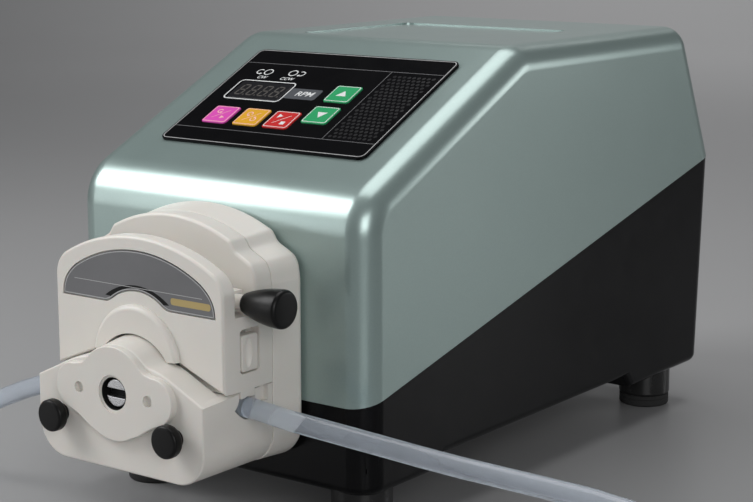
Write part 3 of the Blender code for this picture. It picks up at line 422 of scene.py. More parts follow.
def plastic(name, colour, roughness, grain_mm=0.02, grain=1400, mottle=0.04, **values):
    """Moulded plastic with a fine texture and slight patches of wear."""
    look = Look(name, colour, roughness, **values)
    look.vary_colour(look.noise(38, 5), 1 - mottle, 1 + mottle)
    look.vary_roughness(look.noise(110, 5), 0.05)
    look.rough(look.noise(grain, 3), grain_mm)
    return look.material


def metal(name, colour, roughness, stretch=(1, 1, 12)):
    """Turned or brushed steel, scratched along one direction."""
    look = Look(name, colour, roughness, Metallic=1.0)
    brushed = look.noise(700, 4, 0.6, stretch)
    look.vary_colour(brushed, 0.88, 1.08)
    look.vary_roughness(brushed, 0.08)
    look.rough(brushed, 0.008)
    return look.material


def ink(name, colour, roughness=0.5, mottle=0.04, **values):
    """Print, with hardly any grain."""
    return plastic(name, colour, roughness, 0.004, 900, mottle, **values)


SHELL_COAT = {"Coat_Weight": 0.25, "Coat_Roughness": 0.15}
SHELL = paint("shell_paint", (0.325, 0.415, 0.397), 0.31, Metallic=0.6, **SHELL_COAT)
BLACK = plastic("black_gloss", (0.004, 0.004, 0.0045), 0.16, 0.004, 300, 0.1, Specular_IOR_Level=0.12)
FOOT_BLACK = plastic("foot_black", (0.014, 0.014, 0.014), 0.24, 0.01, 700, 0.1)
RUBBER = plastic("rubber", (0.018, 0.018, 0.018), 0.82, 0.05, 1600, 0.1)
IVORY_GLOW = {"Subsurface_Weight": 0.08, "Subsurface_Scale": 0.002}
IVORY = plastic("ivory_plastic", (0.70, 0.672, 0.625), 0.42, 0.012, 1200, 0.012, **IVORY_GLOW)
KNOB_BLACK = plastic("knob_black", (0.005, 0.005, 0.005), 0.36, 0.012, 900, 0.1, Specular_IOR_Level=0.2)
SHADE = plastic("shade_black", (0.006, 0.006, 0.006), 0.6, 0.01, 900, 0.1, Specular_IOR_Level=0.2)
MATTE_BLACK = plastic("matte_black", (0.02, 0.02, 0.021), 0.55, 0.03, 1500, 0.08)
STEEL = metal("steel", (0.60, 0.60, 0.61), 0.30)
BRUSHED = metal("brushed_plate", (0.62, 0.62, 0.63), 0.36, (1, 14, 1))
# Dark steel for the bearings; on the guide rods its darkness is painted shade in the side notches.
DARK_STEEL_AND_SHADE = metal("dark_steel_and_shade", (0.20, 0.20, 0.21), 0.34)
BOARD = plastic("circuit_board", (0.02, 0.14, 0.07), 0.45, 0.05, 500, 0.2)
ALUMINIUM = metal("aluminium", (0.72, 0.73, 0.74), 0.42, (8, 1, 1))
FILM = plastic("panel_film", (0.003, 0.003, 0.0035), 0.20, 0.004, 500, 0.1, Specular_IOR_Level=0.06)
SILVER_INK = ink("silver_ink", (0.42, 0.42, 0.42), 0.4, 0.03, Metallic=0.3)
WHITE_INK = ink("white_ink", (0.66, 0.67, 0.67), mottle=0.02)
KEY_INK = ink("key_ink", (0.80, 0.45, 0.42), mottle=0.02)
GREY_INK = ink("grey_ink", (0.050, 0.055, 0.064))
LINE_INK = ink("line_ink", (0.13, 0.13, 0.135))
DIM_INK = ink("dim_ink", (0.013, 0.013, 0.014), 0.30, 0.05, Specular_IOR_Level=0.3)
YELLOW_INK = ink("yellow_ink", (0.42, 0.32, 0.13), 0.45, 0.05)
LABEL = plastic("label_film", (0.15, 0.151, 0.157), 0.36, 0.006, 2200, 0.05, Metallic=0.25)
ROLLER = plastic("roller_plastic", (0.72, 0.72, 0.70), 0.35, 0.01, 900, 0.03)
SMOKE = plastic("smoked_window", (0.012, 0.012, 0.014), 0.08, 0.002, 200, 0.05)
DIGIT = ink("dark_digit", (0.06, 0.055, 0.05), 0.4, 0.05)
KEY_COLOURS = {
    "key_magenta": (0.62, 0.07, 0.40),
    "key_amber": (0.66, 0.34, 0.02),
    "key_red": (0.50, 0.018, 0.018),
    "key_down": (0.02, 0.30, 0.11),
    "key_up": (0.02, 0.30, 0.11),
}
KEY_LOOKS = {
    node: plastic(node, colour, 0.38, 0.01, 1500, Specular_IOR_Level=0.25)
    for node, colour in KEY_COLOURS.items()
}


def silicone(name):
    """Milky see-through tubing with a soft shine."""
    clear = {"Transmission_Weight": 0.80, "IOR": 1.14, "Coat_Weight": 0.7, "Coat_Roughness": 0.10}
    look = Look(name, (0.80, 0.86, 0.94), 0.14, **clear)
    look.vary_roughness(look.noise(220, 4), 0.05)
    look.rough(look.noise(500, 3), 0.01)
    return look.material


TUBE = silicone("silicone_tube")


# ---- loose tubing
TUBE_R = 4.0
PORT_X = 43.9
TUBE_Y = -31.0
TUBE_EXIT_Z = 60.6
TUBE_STEP = 17.0
RIGHT_AIR = [(60, -30, 58.8), (88, -24, 55), (127, -15, 49.4), (168, -10, 46.6)]
RIGHT_AIR += [(200, -9.5, 44.5), (226, -13, 36), (242, -22, 22), (250, -36, 9)]
RIGHT_LOOP = (198, -55, 53, 4, -182)
LEFT_AIR = [(-57, -31, 56), (-83, -31, 46.4), (-114, -31, 32), (-138, -31.5, 17), (-158, -33, 7)]
LEFT_LOOP = (-180, -88, 53, 88, 262)


def smooth_curve(points, count):
    """Evenly spaced points on a Catmull-Rom curve through the given ones."""
    knots = [Vector(point) for point in points]
    knots = [2 * knots[0] - knots[1]] + knots + [2 * knots[-1] - knots[-2]]
    fine = []
    for index in range(1, len(knots) - 2):
        p0, p1, p2, p3 = knots[index - 1 : index + 3]
        for step in range(24):
            t = step / 24
            bend = (2 * p0 - 5 * p1 + 4 * p2 - p3) * t**2 + (3 * p1 - p0 - 3 * p2 + p3) * t**3
            fine.append(0.5 * (2 * p1 + (p2 - p0) * t + bend))
    fine.append(knots[-2])
    along = [0.0]
    for before, after in zip(fine, fine[1:]):
        along.append(along[-1] + (after - before).length)
    even = []
    spot = 0
    for step in range(count):
        wanted = along[-1] * step / (count - 1)
        while spot < len(along) - 2 and along[spot + 1] < wanted:
            spot += 1
        span = along[spot + 1] - along[spot]
        even.append(fine[spot].lerp(fine[spot + 1], (wanted - along[spot]) / span))
    return even


def tube_route(side, air, loop):
    """Out of the port, down through the air and round an arc on the floor."""
    x, y, radius, start, end = loop
    port = Vector((side * (PORT_X + 0.3), TUBE_Y, TUBE_EXIT_Z))
    places = [port + Vector((side * 3, 0, 0))] + [Vector(point) for point in air]
    places += [Vector((*point, TUBE_R + 0.1)) for point in arc(x, y, radius, start, end, 8)]
    length = sum((after - before).length for before, after in zip(places, places[1:]))
    return [port] + smooth_curve(places, round(length / TUBE_STEP) + 1)


def make_loose_tube(name, side, air, loop):
    points = tube_route(side, air, loop)
    curve = bpy.data.curves.new(name, "CURVE")
    curve.dimensions = "3D"
    curve.bevel_depth = TUBE_R * MM
    curve.bevel_resolution = 8
    curve.use_fill_caps = True
    spline = curve.splines.new("POLY")
    spline.points.add(len(points) - 1)
    for point, spot in zip(spline.points, points):
        point.co = (*place(*spot), 1)
    spline.use_smooth = True
    made = placed(name + "_look", curve)
    stand_in(made, TUBE, name)


make_loose_tube("tube_right", 1, RIGHT_AIR, RIGHT_LOOP)
make_loose_tube("tube_left", -1, LEFT_AIR, LEFT_LOOP)


# ---- drive housing
HALF_WIDTH = 77.5
SEAM_FRONT_Z = 56.8
SEAM_SLOPE = 0.2407
SEAM_REAR_Y = 289.0
PANEL_FOOT_Z = 137.5
PANEL_TOP_Y = 109.5
DRIVE_TOP = 190.5
CORNER_R = 11
BASE_LOW_Z = 21
REAR_LOW_Y = 283.3
AXIS_Z = 64.8


def seam_z(y):
    return SEAM_FRONT_Z + SEAM_SLOPE * y


def end_edges(bm, half_width, chosen):
    """Edges lying in either end face of a side-view prism that pass the test."""
    return [
        edge
        for edge in bm.edges
        if all(abs(abs(v.co.x) - half_width) < 1e-4 for v in edge.verts)
        and abs(edge.verts[0].co.x - edge.verts[1].co.x) < 1e-4
        and chosen(*edge.verts)
    ]


def off_the_seam(a, b):
    return any(v.co.z > seam_z(v.co.y) + 1 for v in (a, b))


def shell_solid(inset):
    drop = 12 if inset else -0.15
    rear = SEAM_REAR_Y + (2.5 if inset else 0)
    outline = rounded(
        [
            (inset, seam_z(inset) - drop, 0),
            (rear, seam_z(rear) - drop, 0),
            (258 - inset * 0.8, DRIVE_TOP - inset, 12 - inset),
            (PANEL_TOP_Y + inset * 0.25, DRIVE_TOP - inset, 22 - inset),
            (inset, PANEL_FOOT_Z - inset * 0.53, 22 - inset),
        ],
        12,
    )
    half = HALF_WIDTH - inset
    bm = prism(outline, -half, half, "side")
    bevel(bm, end_edges(bm, half, off_the_seam), CORNER_R - inset, 8)
    return bm


PANEL_ANGLE = math.atan2(DRIVE_TOP - PANEL_FOOT_Z, PANEL_TOP_Y)
ONTO_PANEL = Matrix.Translation((0, 0, PANEL_FOOT_Z)) @ Matrix.Rotation(PANEL_ANGLE, 4, "X")


def on_panel(bm):
    """Turns a solid drawn as (x, distance up the slope, height off it) onto the slope."""
    bmesh.ops.transform(bm, matrix=ONTO_PANEL, verts=bm.verts)
    return bm


HEAD_SCREWS = [(side * 33, z) for side in (-1, 1) for z in (45, 112)]
shell_cuts = cut(
    shell_solid(3),
    on_panel(box((-47.7, 37, -8), (35.3, 97, 8))),
    rod((0, AXIS_Z), 11, -5, 7),
    prism(box_outline(-1.5, 158, 93, 84, 5), DRIVE_TOP - 0.8, DRIVE_TOP + 5, "plan"),
)
shell_cuts += cut(*[rod(spot, 2.5, -5, 9) for spot in HEAD_SCREWS if spot[1] > SEAM_FRONT_Z])
shell = shaped("shell_look", shell_solid(0), shell_cuts, smooth=25)
stand_in(shell, SHELL, "upper_shell")


def base_solid(inset):
    front, rear_top, rear_low = 0.8 + inset, SEAM_REAR_Y - inset, REAR_LOW_Y - inset
    rise = 12 if inset else -0.15
    corners = [(rear_top, seam_z(rear_top) + rise, 0), (front, seam_z(front) + rise, 0)]
    if inset:
        corners += [(front, 30, 2), (rear_low, 30, 6)]
    else:
        corners += [(front, BASE_LOW_Z, 0), (50, BASE_LOW_Z, 0), (55, 27, 0)]
        corners += [(207, 27, 0), (212, BASE_LOW_Z, 0), (rear_low, BASE_LOW_Z, 0)]
    half = HALF_WIDTH - 0.2 - inset
    bm = prism(rounded(corners, 4), -half, half, "side")

    def upright(a, b):
        rise_z = abs(a.co.z - b.co.z)
        return rise_z > 10 and rise_z > abs(a.co.y - b.co.y)

    bevel(bm, end_edges(bm, half, upright), CORNER_R - inset, 8)
    if not inset:
        rim = []
        for edge in bm.edges:
            slants = sorted(face.normal.z for face in edge.link_faces)
            if slants[0] < -0.4 and abs(slants[1]) < 0.3:
                rim.append(edge)
        bevel(bm, rim, 4, 5)
    return bm


REAR_TILT = math.atan2(SEAM_REAR_Y - REAR_LOW_Y, seam_z(SEAM_REAR_Y) - BASE_LOW_Z)


def rear_y(z):
    """Where the leaning rear wall's outer face is at a height."""
    return REAR_LOW_Y + (z - BASE_LOW_Z) * math.tan(REAR_TILT)


def on_rear(bm, x, z):
    """Leans a solid drawn about the rear wall's outer face (x, outwards, up) onto it."""
    turn = Matrix.Translation((x, rear_y(z), z)) @ Matrix.Rotation(-REAR_TILT, 4, "X")
    bmesh.ops.transform(bm, matrix=turn, verts=bm.verts)
    return bm


def rear_box(fitting, near, far, grow=0.0, soft=0.0):
    x, z, width, height = fitting
    w, h = width / 2 + grow, height / 2 + grow
    return on_rear(box((-w, near, -h), (w, far, h), soft), x, z)


INLET = (-40, 66, 27, 24)
SWITCH = (2, 66, 13, 19)
SOCKET = (42, 66, 26, 11)
base_cuts = cut(base_solid(3), rod((0, AXIS_Z), 11, -5, 7))
base_cuts += cut(*[rod(spot, 2.5, -5, 9) for spot in HEAD_SCREWS if spot[1] < SEAM_FRONT_Z])
base_cuts += cut(*[rear_box(fitting, -8, 5, 0.5) for fitting in (INLET, SWITCH, SOCKET)])
slot_outline = box_outline(0, 0, 90, 2.4, 1.1, 5)
for height in (92, 98, 104, 110):
    base_cuts += cut(on_rear(prism(slot_outline, -8, 5, "front"), 0, height))
base = shaped("base_look", base_solid(0), base_cuts, smooth=25)
stand_in(base, BLACK, "lower_base")

for end, y in (("front", 24), ("rear", 261)):
    for side, x in (("left", -57), ("right", 57)):
        node = f"foot_{end}_{side}"
        foot = lathe(soft_profile(12.6, 5.8, 20.7, 0.9), (x, y, 0))
        stand_in(to_object(node + "_look", foot), FOOT_BLACK, node)
        node = f"foot_pad_{end}_{side}"
        outline = [(0, 0), (7.5, 0), (8.1, 0.8), (9.2, 0.8), (9.8, 0), (11.2, 0)]
        outline += [tuple(p) for p in arc(11.1, 1.2, 1.2, -60, 0, 4)]
        outline += [(12.3, 3), (12.0, 3.4), (12.3, 3.8), (12.3, 5.1), (12.0, 5.5), (0, 5.5)]
        pad = lathe(outline, (x, y, 0))
        stand_in(to_object(node + "_look", pad), RUBBER, node)


# ---- control panel
PANEL_X = 2.2
PANEL_S = 66.55
PANEL_W, PANEL_H = 109.2, 76.1
FILM_LOW, FILM_HIGH = 0.3, 1.3
KEY_W, KEY_H = 13.4, 12.8
KEYS = {
    "key_magenta": (-33.3, 49.5),
    "key_amber": (-16.3, 49.6),
    "key_red": (0.2, 49.5),
    "key_down": (16.7, 55.5),
    "key_up": (16.6, 72.3),
}
WINDOW = (-27.8, 70.5, 28.4, 13.6)



def panel_outline(inset=0.0):
    width, height = PANEL_W - 2 * inset, PANEL_H - 2 * inset
    return box_outline(PANEL_X, PANEL_S, width, height, 3.5 - inset, 8)


holes = [box_outline(x, s, KEY_W + 0.6, KEY_H + 0.6, 1.6) for x, s in KEYS.values()]
holes.append(box_outline(*WINDOW[:2], WINDOW[2] + 0.6, WINDOW[3] + 0.6, 1.5))
film_steps = cut(*[on_panel(prism(hole, -3, 4, "plan")) for hole in holes])
film = on_panel(prism(panel_outline(), FILM_LOW, FILM_HIGH, "plan", soft_high=0.25, segments=2))
film = shaped("film_look", film, film_steps, smooth=25)
stand_in(film, FILM, "panel_overlay")


def flat_ring(outer, inner, height=0.03):
    """A thin printed band between two outlines with the same number of points."""
    bm = bmesh.new()
    levels = []
    for outline, z in ((outer, 0), (outer, height), (inner, height), (inner, 0)):
        levels.append([bm.verts.new((p[0], p[1], z)) for p in outline])
    count = len(outer)
    for one, two in zip(levels, levels[1:] + levels[:1]):
        for index in range(count):
            after = (index + 1) % count
            bm.faces.new((one[index], one[after], two[after], two[index]))
    bmesh.ops.recalc_face_normals(bm, faces=bm.faces)
    return bm


def merged(solids):
    """Several solids kept apart in one mesh."""
    mesh = bpy.data.meshes.new("merged")
    whole = bmesh.new()
    for solid in solids:
        solid.to_mesh(mesh)
        solid.free()
        whole.from_mesh(mesh)
    bpy.data.meshes.remove(mesh)
    return whole


def printed(name, solids, look, slot="panel_overlay", body="drive", level=FILM_HIGH):
    """Print lying on the panel film, or on a key."""
    whole = merged(solids)
    bmesh.ops.translate(whole, vec=(0, 0, level), verts=whole.verts)
    dress(to_object(name, on_panel(whole), smooth=0), look, body, slot)


def bar(x0, x1, s0, s1, height=0.03):
    return flat([(x0, s0), (x1, s0), (x1, s1), (x0, s1)], height)


def lettering(text, x, s, size):
    """Flat letters or digits, as a solid at a place on the panel."""
    curve = bpy.data.curves.new("letters", "FONT")
    curve.body = text
    curve.size = size
    curve.align_x = "CENTER"
    curve.align_y = "CENTER"
    curve.extrude = 0.015
    curve.offset = 0.012 * size
    curve.shear = 0.15
    made = placed("letters", curve)
    mesh = evaluated_mesh(made)
    bpy.data.objects.remove(made, do_unlink=True)
    bm = bmesh.new()
    bm.from_mesh(mesh)
    bmesh.ops.remove_doubles(bm, verts=bm.verts, dist=1e-4)
    bmesh.ops.translate(bm, vec=(x, s, 0.015), verts=bm.verts)
    return bm


def arrow_ring(x, s, radius, start, end):
    """A small circular arrow from one angle to another."""
    outer = arc(x, s, radius + 0.25, start, end, 20)
    inner = arc(x, s, radius - 0.25, start, end, 20)
    ring = flat(outer + inner[::-1], 0.03)
    angle = math.radians(end)
    tip = Vector((x + radius * math.cos(angle), s + radius * math.sin(angle)))
    along = Vector((-math.sin(angle), math.cos(angle))) * (1 if end > start else -1)
    out = Vector((math.cos(angle), math.sin(angle)))
    head = [tip + along * 1.3, tip - out * 0.8, tip + out * 0.8]
    return [ring, flat(head, 0.03)]


def full_ring(x, s, radius):
    return flat_ring(arc(x, s, radius + 0.25, 0, 345, 23), arc(x, s, radius - 0.25, 0, 345, 23))


border = flat_ring(panel_outline(0.7), panel_outline(1.15))
printed("panel_border", [border], SILVER_INK)
LINE_TOP, LINE_LOW = 92.6, 38.8
LINE_X = 28.6
lines = [bar(-50.5, 55.5, LINE_TOP, LINE_TOP + 0.28), bar(-51, 55.5, LINE_LOW, LINE_LOW + 0.28)]
lines.append(bar(LINE_X, LINE_X + 0.28, LINE_LOW + 0.3, LINE_TOP))
printed("panel_lines", lines, LINE_INK)

frame_outlines = [box_outline(*WINDOW[:2], *edge) for edge in ((31.6, 15.8, 2.4), (30.5, 14.7, 1.9))]
marks = [flat_ring(*frame_outlines)]
marks += [full_ring(-34.0, 85.7, 2.1), full_ring(-20.4, 86.2, 2.1)]
marks += arrow_ring(-38.6, 85.6, 1.7, 50, 290) + arrow_ring(-15.7, 86.1, 1.7, 130, -110)
marks += [lettering("CW", -34.6, 81.1, 3.0), lettering("CCW", -20.6, 81.2, 3.0)]
printed("panel_marks", marks, WHITE_INK)
printed("rpm_tag", [flat(box_outline(-3.6, 70.3, 17.0, 8.2, 1.2))], GREY_INK)
printed("rpm_letters", [lettering("RPM", -2.8, 70.3, 5.0)], WHITE_INK, level=FILM_HIGH + 0.03)

honeycomb = []
CELL = 2.5
for row in range(20):
    for column in range(9):
        x = 31.2 + (column + (row % 2) / 2) * CELL
        s = 41.6 + row * CELL
        honeycomb.append(flat(arc(x, s, 0.95, 30, 330, 5)))
printed("panel_honeycomb", honeycomb, DIM_INK)


def slash(x, s, reach):
    """A thin diagonal stroke."""
    corners = [(-reach - 0.2, -reach), (-reach + 0.2, -reach), (reach + 0.2, reach), (reach - 0.2, reach)]
    return flat([(x + a, s + b) for a, b in corners])


KEY_TOP = FILM_HIGH + 0.5
for node, (x, s) in KEYS.items():
    outline = box_outline(x, s, KEY_W, KEY_H, 1.3)
    cap = on_panel(prism(outline, KEY_TOP - 3, KEY_TOP, "plan", soft_high=0.4))
    stand_in(to_object(node + "_look", cap), KEY_LOOKS[node], node, node)
    rims = [box_outline(x, s, KEY_W - less, KEY_H - less, r) for less, r in ((1.0, 0.9), (1.7, 0.7))]
    signs = [flat_ring(*rims, 0.02)]
    if node == "key_up":
        signs.append(flat([(x - 2.6, s - 1.8), (x + 2.6, s - 1.8), (x, s + 2.3)]))
    elif node == "key_down":
        signs.append(flat([(x - 2.6, s + 1.8), (x, s - 2.3), (x + 2.6, s + 1.8)]))
    elif node == "key_magenta":
        signs += arrow_ring(x - 1.9, s + 2.1, 1.2, 30, 300) + [slash(x, s, 3.2)]
        signs.append(flat([(x + 1.2, s - 3.4), (x + 3.4, s - 2.3), (x + 1.2, s - 1.2)]))
    elif node == "key_amber":
        signs += arrow_ring(x - 2.1, s + 1.9, 1.3, -30, 250) + [slash(x, s, 3.2)]
        signs += arrow_ring(x + 2.1, s - 1.9, 1.3, 150, 430)
    else:
        signs.append(flat([(x - 3.4, s + 0.9), (x - 0.9, s + 2.4), (x - 3.4, s + 3.9)]))
        signs += [bar(x + 1.0, x + 3.3, s - 3.7, s - 1.5, 0.02), slash(x, s, 3.2)]
    ink = KEY_INK if node in ("key_magenta", "key_amber") else WHITE_INK
    printed(node + "_marks", signs, ink, node, body=node, level=KEY_TOP)

window = on_panel(prism(box_outline(*WINDOW, 1.2), FILM_LOW, FILM_HIGH - 0.05, "plan", soft_high=0.15))
stand_in(to_object("window_look", window), SMOKE, "display_window")


def digit(x, s, width, height):
    """Seven bars of a numeral, leaning slightly, and its point."""
    bars = []
    thick = 0.9
    lean = 0.12

    def segment(cx, cs, length, upright):
        half, t = length / 2, thick / 2
        points = [(-half, 0), (-half + t, t), (half - t, t)]
        points += [(half, 0), (half - t, -t), (-half + t, -t)]
        if upright:
            points = [(b, a) for a, b in points]
        outline = [(cx + a + lean * (cs + b), cs + b) for a, b in points]
        return flat([(x + a, s + b) for a, b in outline])

    w, h = width - thick, height / 2 - thick / 2
    for level in (-h, 0, h):
        bars.append(segment(0, level, w * 0.92, False))
    for side in (-1, 1):
        for level in (-1, 1):
            bars.append(segment(side * w / 2, level * h / 2, h * 0.92, True))
    bars.append(flat(arc(x + width / 2 + 0.7, s - height / 2 + 0.5, 0.45, 0, 330, 11)))
    return bars


digits = []
for index in range(4):
    digits += digit(WINDOW[0] - 9.6 + index * 6.4, WINDOW[1], 4.3, 8.6)
printed("display_digits", digits, DIGIT, "display_window", level=FILM_HIGH - 0.04)


# ---- rear fittings
inlet_steps = add(rear_box(INLET, 0.3, 1.8, 2.2, 0.6))
inlet_steps += cut(rear_box((INLET[0], INLET[1] - 1, 22, 16), -16, 4))
for dx, dz in ((-6, -2), (0, 3), (6, -2)):
    inlet_steps += add(rear_box((INLET[0] + dx, INLET[1] + dz, 2, 4), -17, -4, 0, 0.3))
inlet = shaped("inlet_look", rear_box(INLET, -22, 0.5), inlet_steps, smooth=30)
stand_in(inlet, MATTE_BLACK, "power_inlet")

frame_steps = add(rear_box(SWITCH, 0.3, 1.6, 1.5, 0.6))
frame_steps += cut(rear_box((*SWITCH[:2], 9.6, 15.6), -11.5, 4))
switch_frame = shaped("switch_frame_look", rear_box(SWITCH, -14, 0.5), frame_steps, smooth=30)
stand_in(switch_frame, MATTE_BLACK, "switch_frame")

socket_steps = add(rear_box(SOCKET, 0.3, 1.3, 2.5, 0.4))
socket_steps += cut(rear_box((*SOCKET[:2], 24, 8.4), -6, 4))
socket_steps += add(rear_box((*SOCKET[:2], 22, 6.4), -7, -1, 0, 0.3))
socket = shaped("socket_look", rear_box(SOCKET, -9, 0.5), socket_steps, smooth=30)
stand_in(socket, STEEL, "control_socket")

ROCKER_TILT = 11
rocker_outline = [(-6.5, -3), (2.0, -7.2)]
rocker_outline += [(p.x - 0.4, p.y) for p in arc(24.0, 0, 23.0, 197, 163, 8)]
rocker_outline += [(2.0, 7.2), (-6.5, 3)]
rocker = prism(rocker_outline, -4.4, 4.4, "side", 0.4, 0.4, 2)
rocker_at = Matrix.Translation((SWITCH[0], rear_y(SWITCH[1]) - 4, SWITCH[1]))
rocker_at @= Matrix.Rotation(math.radians(ROCKER_TILT) - REAR_TILT, 4, "X")
bmesh.ops.transform(rocker, matrix=rocker_at, verts=rocker.verts)
stand_in(to_object("rocker_look", rocker), BLACK, "power_rocker", "power_rocker")


# ---- pump head, fixed pieces
def flowing(points, steps=6):
    """A smooth outline through the given (u, v) points."""
    curve = smooth_curve([(u, v, 0) for u, v in points], steps * (len(points) - 1) + 1)
    return [Vector((p.x, p.y)) for p in curve]


BLOCK_HALF = 44.3
HEAD_HALF = 43.8
SCREW_AT = (30.4, 52)
ROD_AT = (37, -22)


def high_outline(bottom, corner):
    """The tall outline shared by the rear housing and the back of the moving block."""
    right = arc(0, 63.2, 67.2, 90, 64.8, 14)
    shoulder = [(28.6, 124.0), (30.9, 122.9), (32.2, 121.2), (33.7, 119.1), (36.0, 117.7)]
    shoulder += [(39.2, 116.1), (41.8, 114.2), (43.5, 110.8), (BLOCK_HALF, 105.5)]
    right += flowing(shoulder, 4)[1:]
    if corner:
        right += arc(BLOCK_HALF - corner, bottom + corner, corner, 0, -90, 12)
    else:
        right.append(Vector((BLOCK_HALF, bottom)))
    return mirrored(right)


def flare(bm):
    """Widens the rear housing towards the drive."""
    for vert in bm.verts:
        part = (vert.co.y + 16) / 15.7
        vert.co.x *= 1 + 0.07 * part
        if vert.co.z > 90:
            vert.co.z = 90 + (vert.co.z - 90) * (1 + 0.05 * part)
    return bm


housing_steps = cut(rod((0, AXIS_Z), 13, -20, -8), rod((0, AXIS_Z), 9.5, -20, 5))
housing_steps += cut(*[rod(spot, 2.4, -20, 5, steps=24) for spot in HEAD_SCREWS])
housing_steps += cut(*[rod(spot, 4.6, -20, -11) for spot in HEAD_SCREWS])
rear_solid = prism(high_outline(33.5, 14), -16, -0.3, "front", soft_low=0.3, soft_high=3.2, segments=6)
rear_housing = shaped("rear_housing_look", flare(rear_solid), housing_steps, smooth=28)
stand_in(rear_housing, IVORY, "rear_housing")


def bell_outline():
    """The lower block's front: sloping shoulders flowing up into a half-round boss."""
    right = arc(0, AXIS_Z, 19, 90, 50, 10)
    foot = [(12.2, 79.4), (13.8, 78.1), (16.2, 77.0), (19.4, 76.3), (23.2, 75.3), (28, 73.2)]
    right += flowing(foot + [(34, 70.3), (HEAD_HALF, 65.6)], 4)[1:]
    right += arc(HEAD_HALF - 14, 47.5, 14, 0, -90, 14)
    return mirrored(right)


def ease_outside(bm):
    """Rounds only the outer rim of the band's front."""
    rim = []
    for edge in bm.edges:
        middle = (edge.verts[0].co + edge.verts[1].co) / 2
        if middle.y < -46.8 and math.hypot(middle.x, middle.z - 75) > 22:
            rim.append(edge)
    bevel(bm, rim, 2.2, 6)
    return bm


BACK_RISE = [(0, 6.6), (6, 6.8), (11, 7.2), (14, 6.6), (16, 4.4), (18, 2.0), (20, 1.2), (24, 0.5)]
BACK_RISE += [(30, 0.3), (36, 0.8), (44, 2.1)]


def raise_back(bm):
    """Lifts the back edge of the lower block's top, to meet the moving block's edge."""
    for vert in bm.verts:
        if vert.co.z < 64 or vert.co.y <= -50:
            continue
        reach = abs(vert.co.x)
        for (x0, rise0), (x1, rise1) in zip(BACK_RISE, BACK_RISE[1:]):
            if x0 <= reach <= x1:
                vert.co.z += rise0 + (rise1 - rise0) * (reach - x0) / (x1 - x0)
                break
    return bm


def boss_outline():
    """A round plate with an ear on each side, the two joined by a smooth waist."""
    right = arc(0, AXIS_Z, 18.7, 90, 54, 9)
    right += flowing([(11.0, 79.9), (12.6, 78.4), (14.3, 76.7), (16.6, 75.1), (20.4, 74.2)], 4)[1:]
    right += arc(21.3, AXIS_Z, 9.4, 94, -70, 24)[1:]
    right += flowing([(24.5, 56.0), (20.4, 54.4), (16.4, 52.2), (12.8, 50.0), (9.4, 48.6)], 4)[1:]
    right += arc(0, AXIS_Z, 18.7, -60, -90, 7)[1:]
    return mirrored(right)


BEND_R = 16.6
BEND_X = 42.9
BEND_TURN = 74
ARCH_R = 27.5


def head_path(fine=3):
    """Middle line of the held tube, right to left, with how flat it is at each point."""
    path = [(PORT_X, TUBE_EXIT_Z, 0.0)]
    bends = 8 * fine
    for step in range(bends + 1):
        angle = math.radians(-90 - BEND_TURN * step / bends)
        flat = max(0.0, (step / fine - 4) / 4)
        x = BEND_X + BEND_R * math.cos(angle)
        z = TUBE_EXIT_Z + BEND_R + BEND_R * math.sin(angle)
        path.append((x, z, flat))
    end_x, end_z, _ = path[-1]
    radius = math.hypot(end_x, end_z - AXIS_Z)
    start = math.atan2(end_z - AXIS_Z, end_x)
    turns = 12 * fine
    for step in range(1, turns + 1):
        angle = start + (math.pi / 2 - start) * step / turns
        eased = radius + (ARCH_R - radius) * min(1.0, step / (2 * fine))
        path.append((eased * math.cos(angle), AXIS_Z + eased * math.sin(angle), 1.0))
    return path + [(-x, z, flat) for x, z, flat in reversed(path[:-1])]


def tube_room(side):
    """A cutter with clearance around the tube from the side face to the rollers."""
    points = [(side * 60, TUBE_Y, TUBE_EXIT_Z)]
    points += [(side * x, TUBE_Y, z) for x, z, _ in head_path(1)[1:9]]
    return sweep(points, [(4.6, 4.6)] * len(points))


held = head_path()
held_radii = [(4 + (1.7 - 4) * flat, 4 + (5.7 - 4) * flat) for _, _, flat in held]
tube_in_head = sweep([(x, TUBE_Y, z) for x, z, _ in held], held_radii, 28)
stand_in(to_object("held_tube_look", tube_in_head, 60), TUBE, "tube_in_head")


def tube_mouth(side):
    """The flared, pointed opening around the tube in the side face."""
    low_edge = [(-38.2, 60.6), (-36.4, 59.0), (-34.2, 57.2), (-31, 56.0), (-27.8, 57.2), (-26.2, 60.6)]
    outline = flowing(low_edge, 3)
    outline += [Vector((-26.4, 75)), Vector((-35.6, 75))]
    outline += flowing([(-35.6, 64.4), (-36.4, 62.4), (-38.2, 60.6)], 3)[:-1]
    low, high = sorted((side * 41, side * 50))
    return prism(outline, low, high, "side")


def about(x, reach, low, high):
    """A box reaching equally to both sides of x, between (y, z) corners."""
    return box((x - reach, *low), (x + reach, *high))


lower_steps = add(prism(boss_outline(), -59, -55.4, "front", soft_low=0.6, segments=3))
lower_steps += cut(
    about(0, 60, (-44.2, 67.2), (-10, 100)),
    rod((0, AXIS_Z), 26.5, -41, -21, steps=72),
    rod((0, AXIS_Z), 6.5, -70, -40),
    rod((0, AXIS_Z), 7.4, -70, -58.2),
    rod((0, AXIS_Z), 11.2, -50, -38),
    rod((0, AXIS_Z), 7.5, -25, -10),
    about(0, 33, (-40.5, 60), (-21.5, 75)),
)
for side in (-1, 1):
    lower_steps += cut(
        tube_room(side),
        about(side * 44, 12, (TUBE_Y - 4.2, 60.6), (TUBE_Y + 4.2, 75.4)),
        tube_mouth(side),
        about(side * 45.3, 3.8, (-23.5, 61), (-18.8, 69)),
        about(side * 45.3, 8, (-23.5, 61), (-21.2, 69)),
        rod((side * SCREW_AT[0], SCREW_AT[1]), 2.5, -60, -38, steps=24),
        rod((side * ROD_AT[0], ROD_AT[1]), 2.8, 49.5, 75, "Z", 24),
        rod((side * 18.2, AXIS_Z), 2.3, -62, -57.0, steps=32),
    )
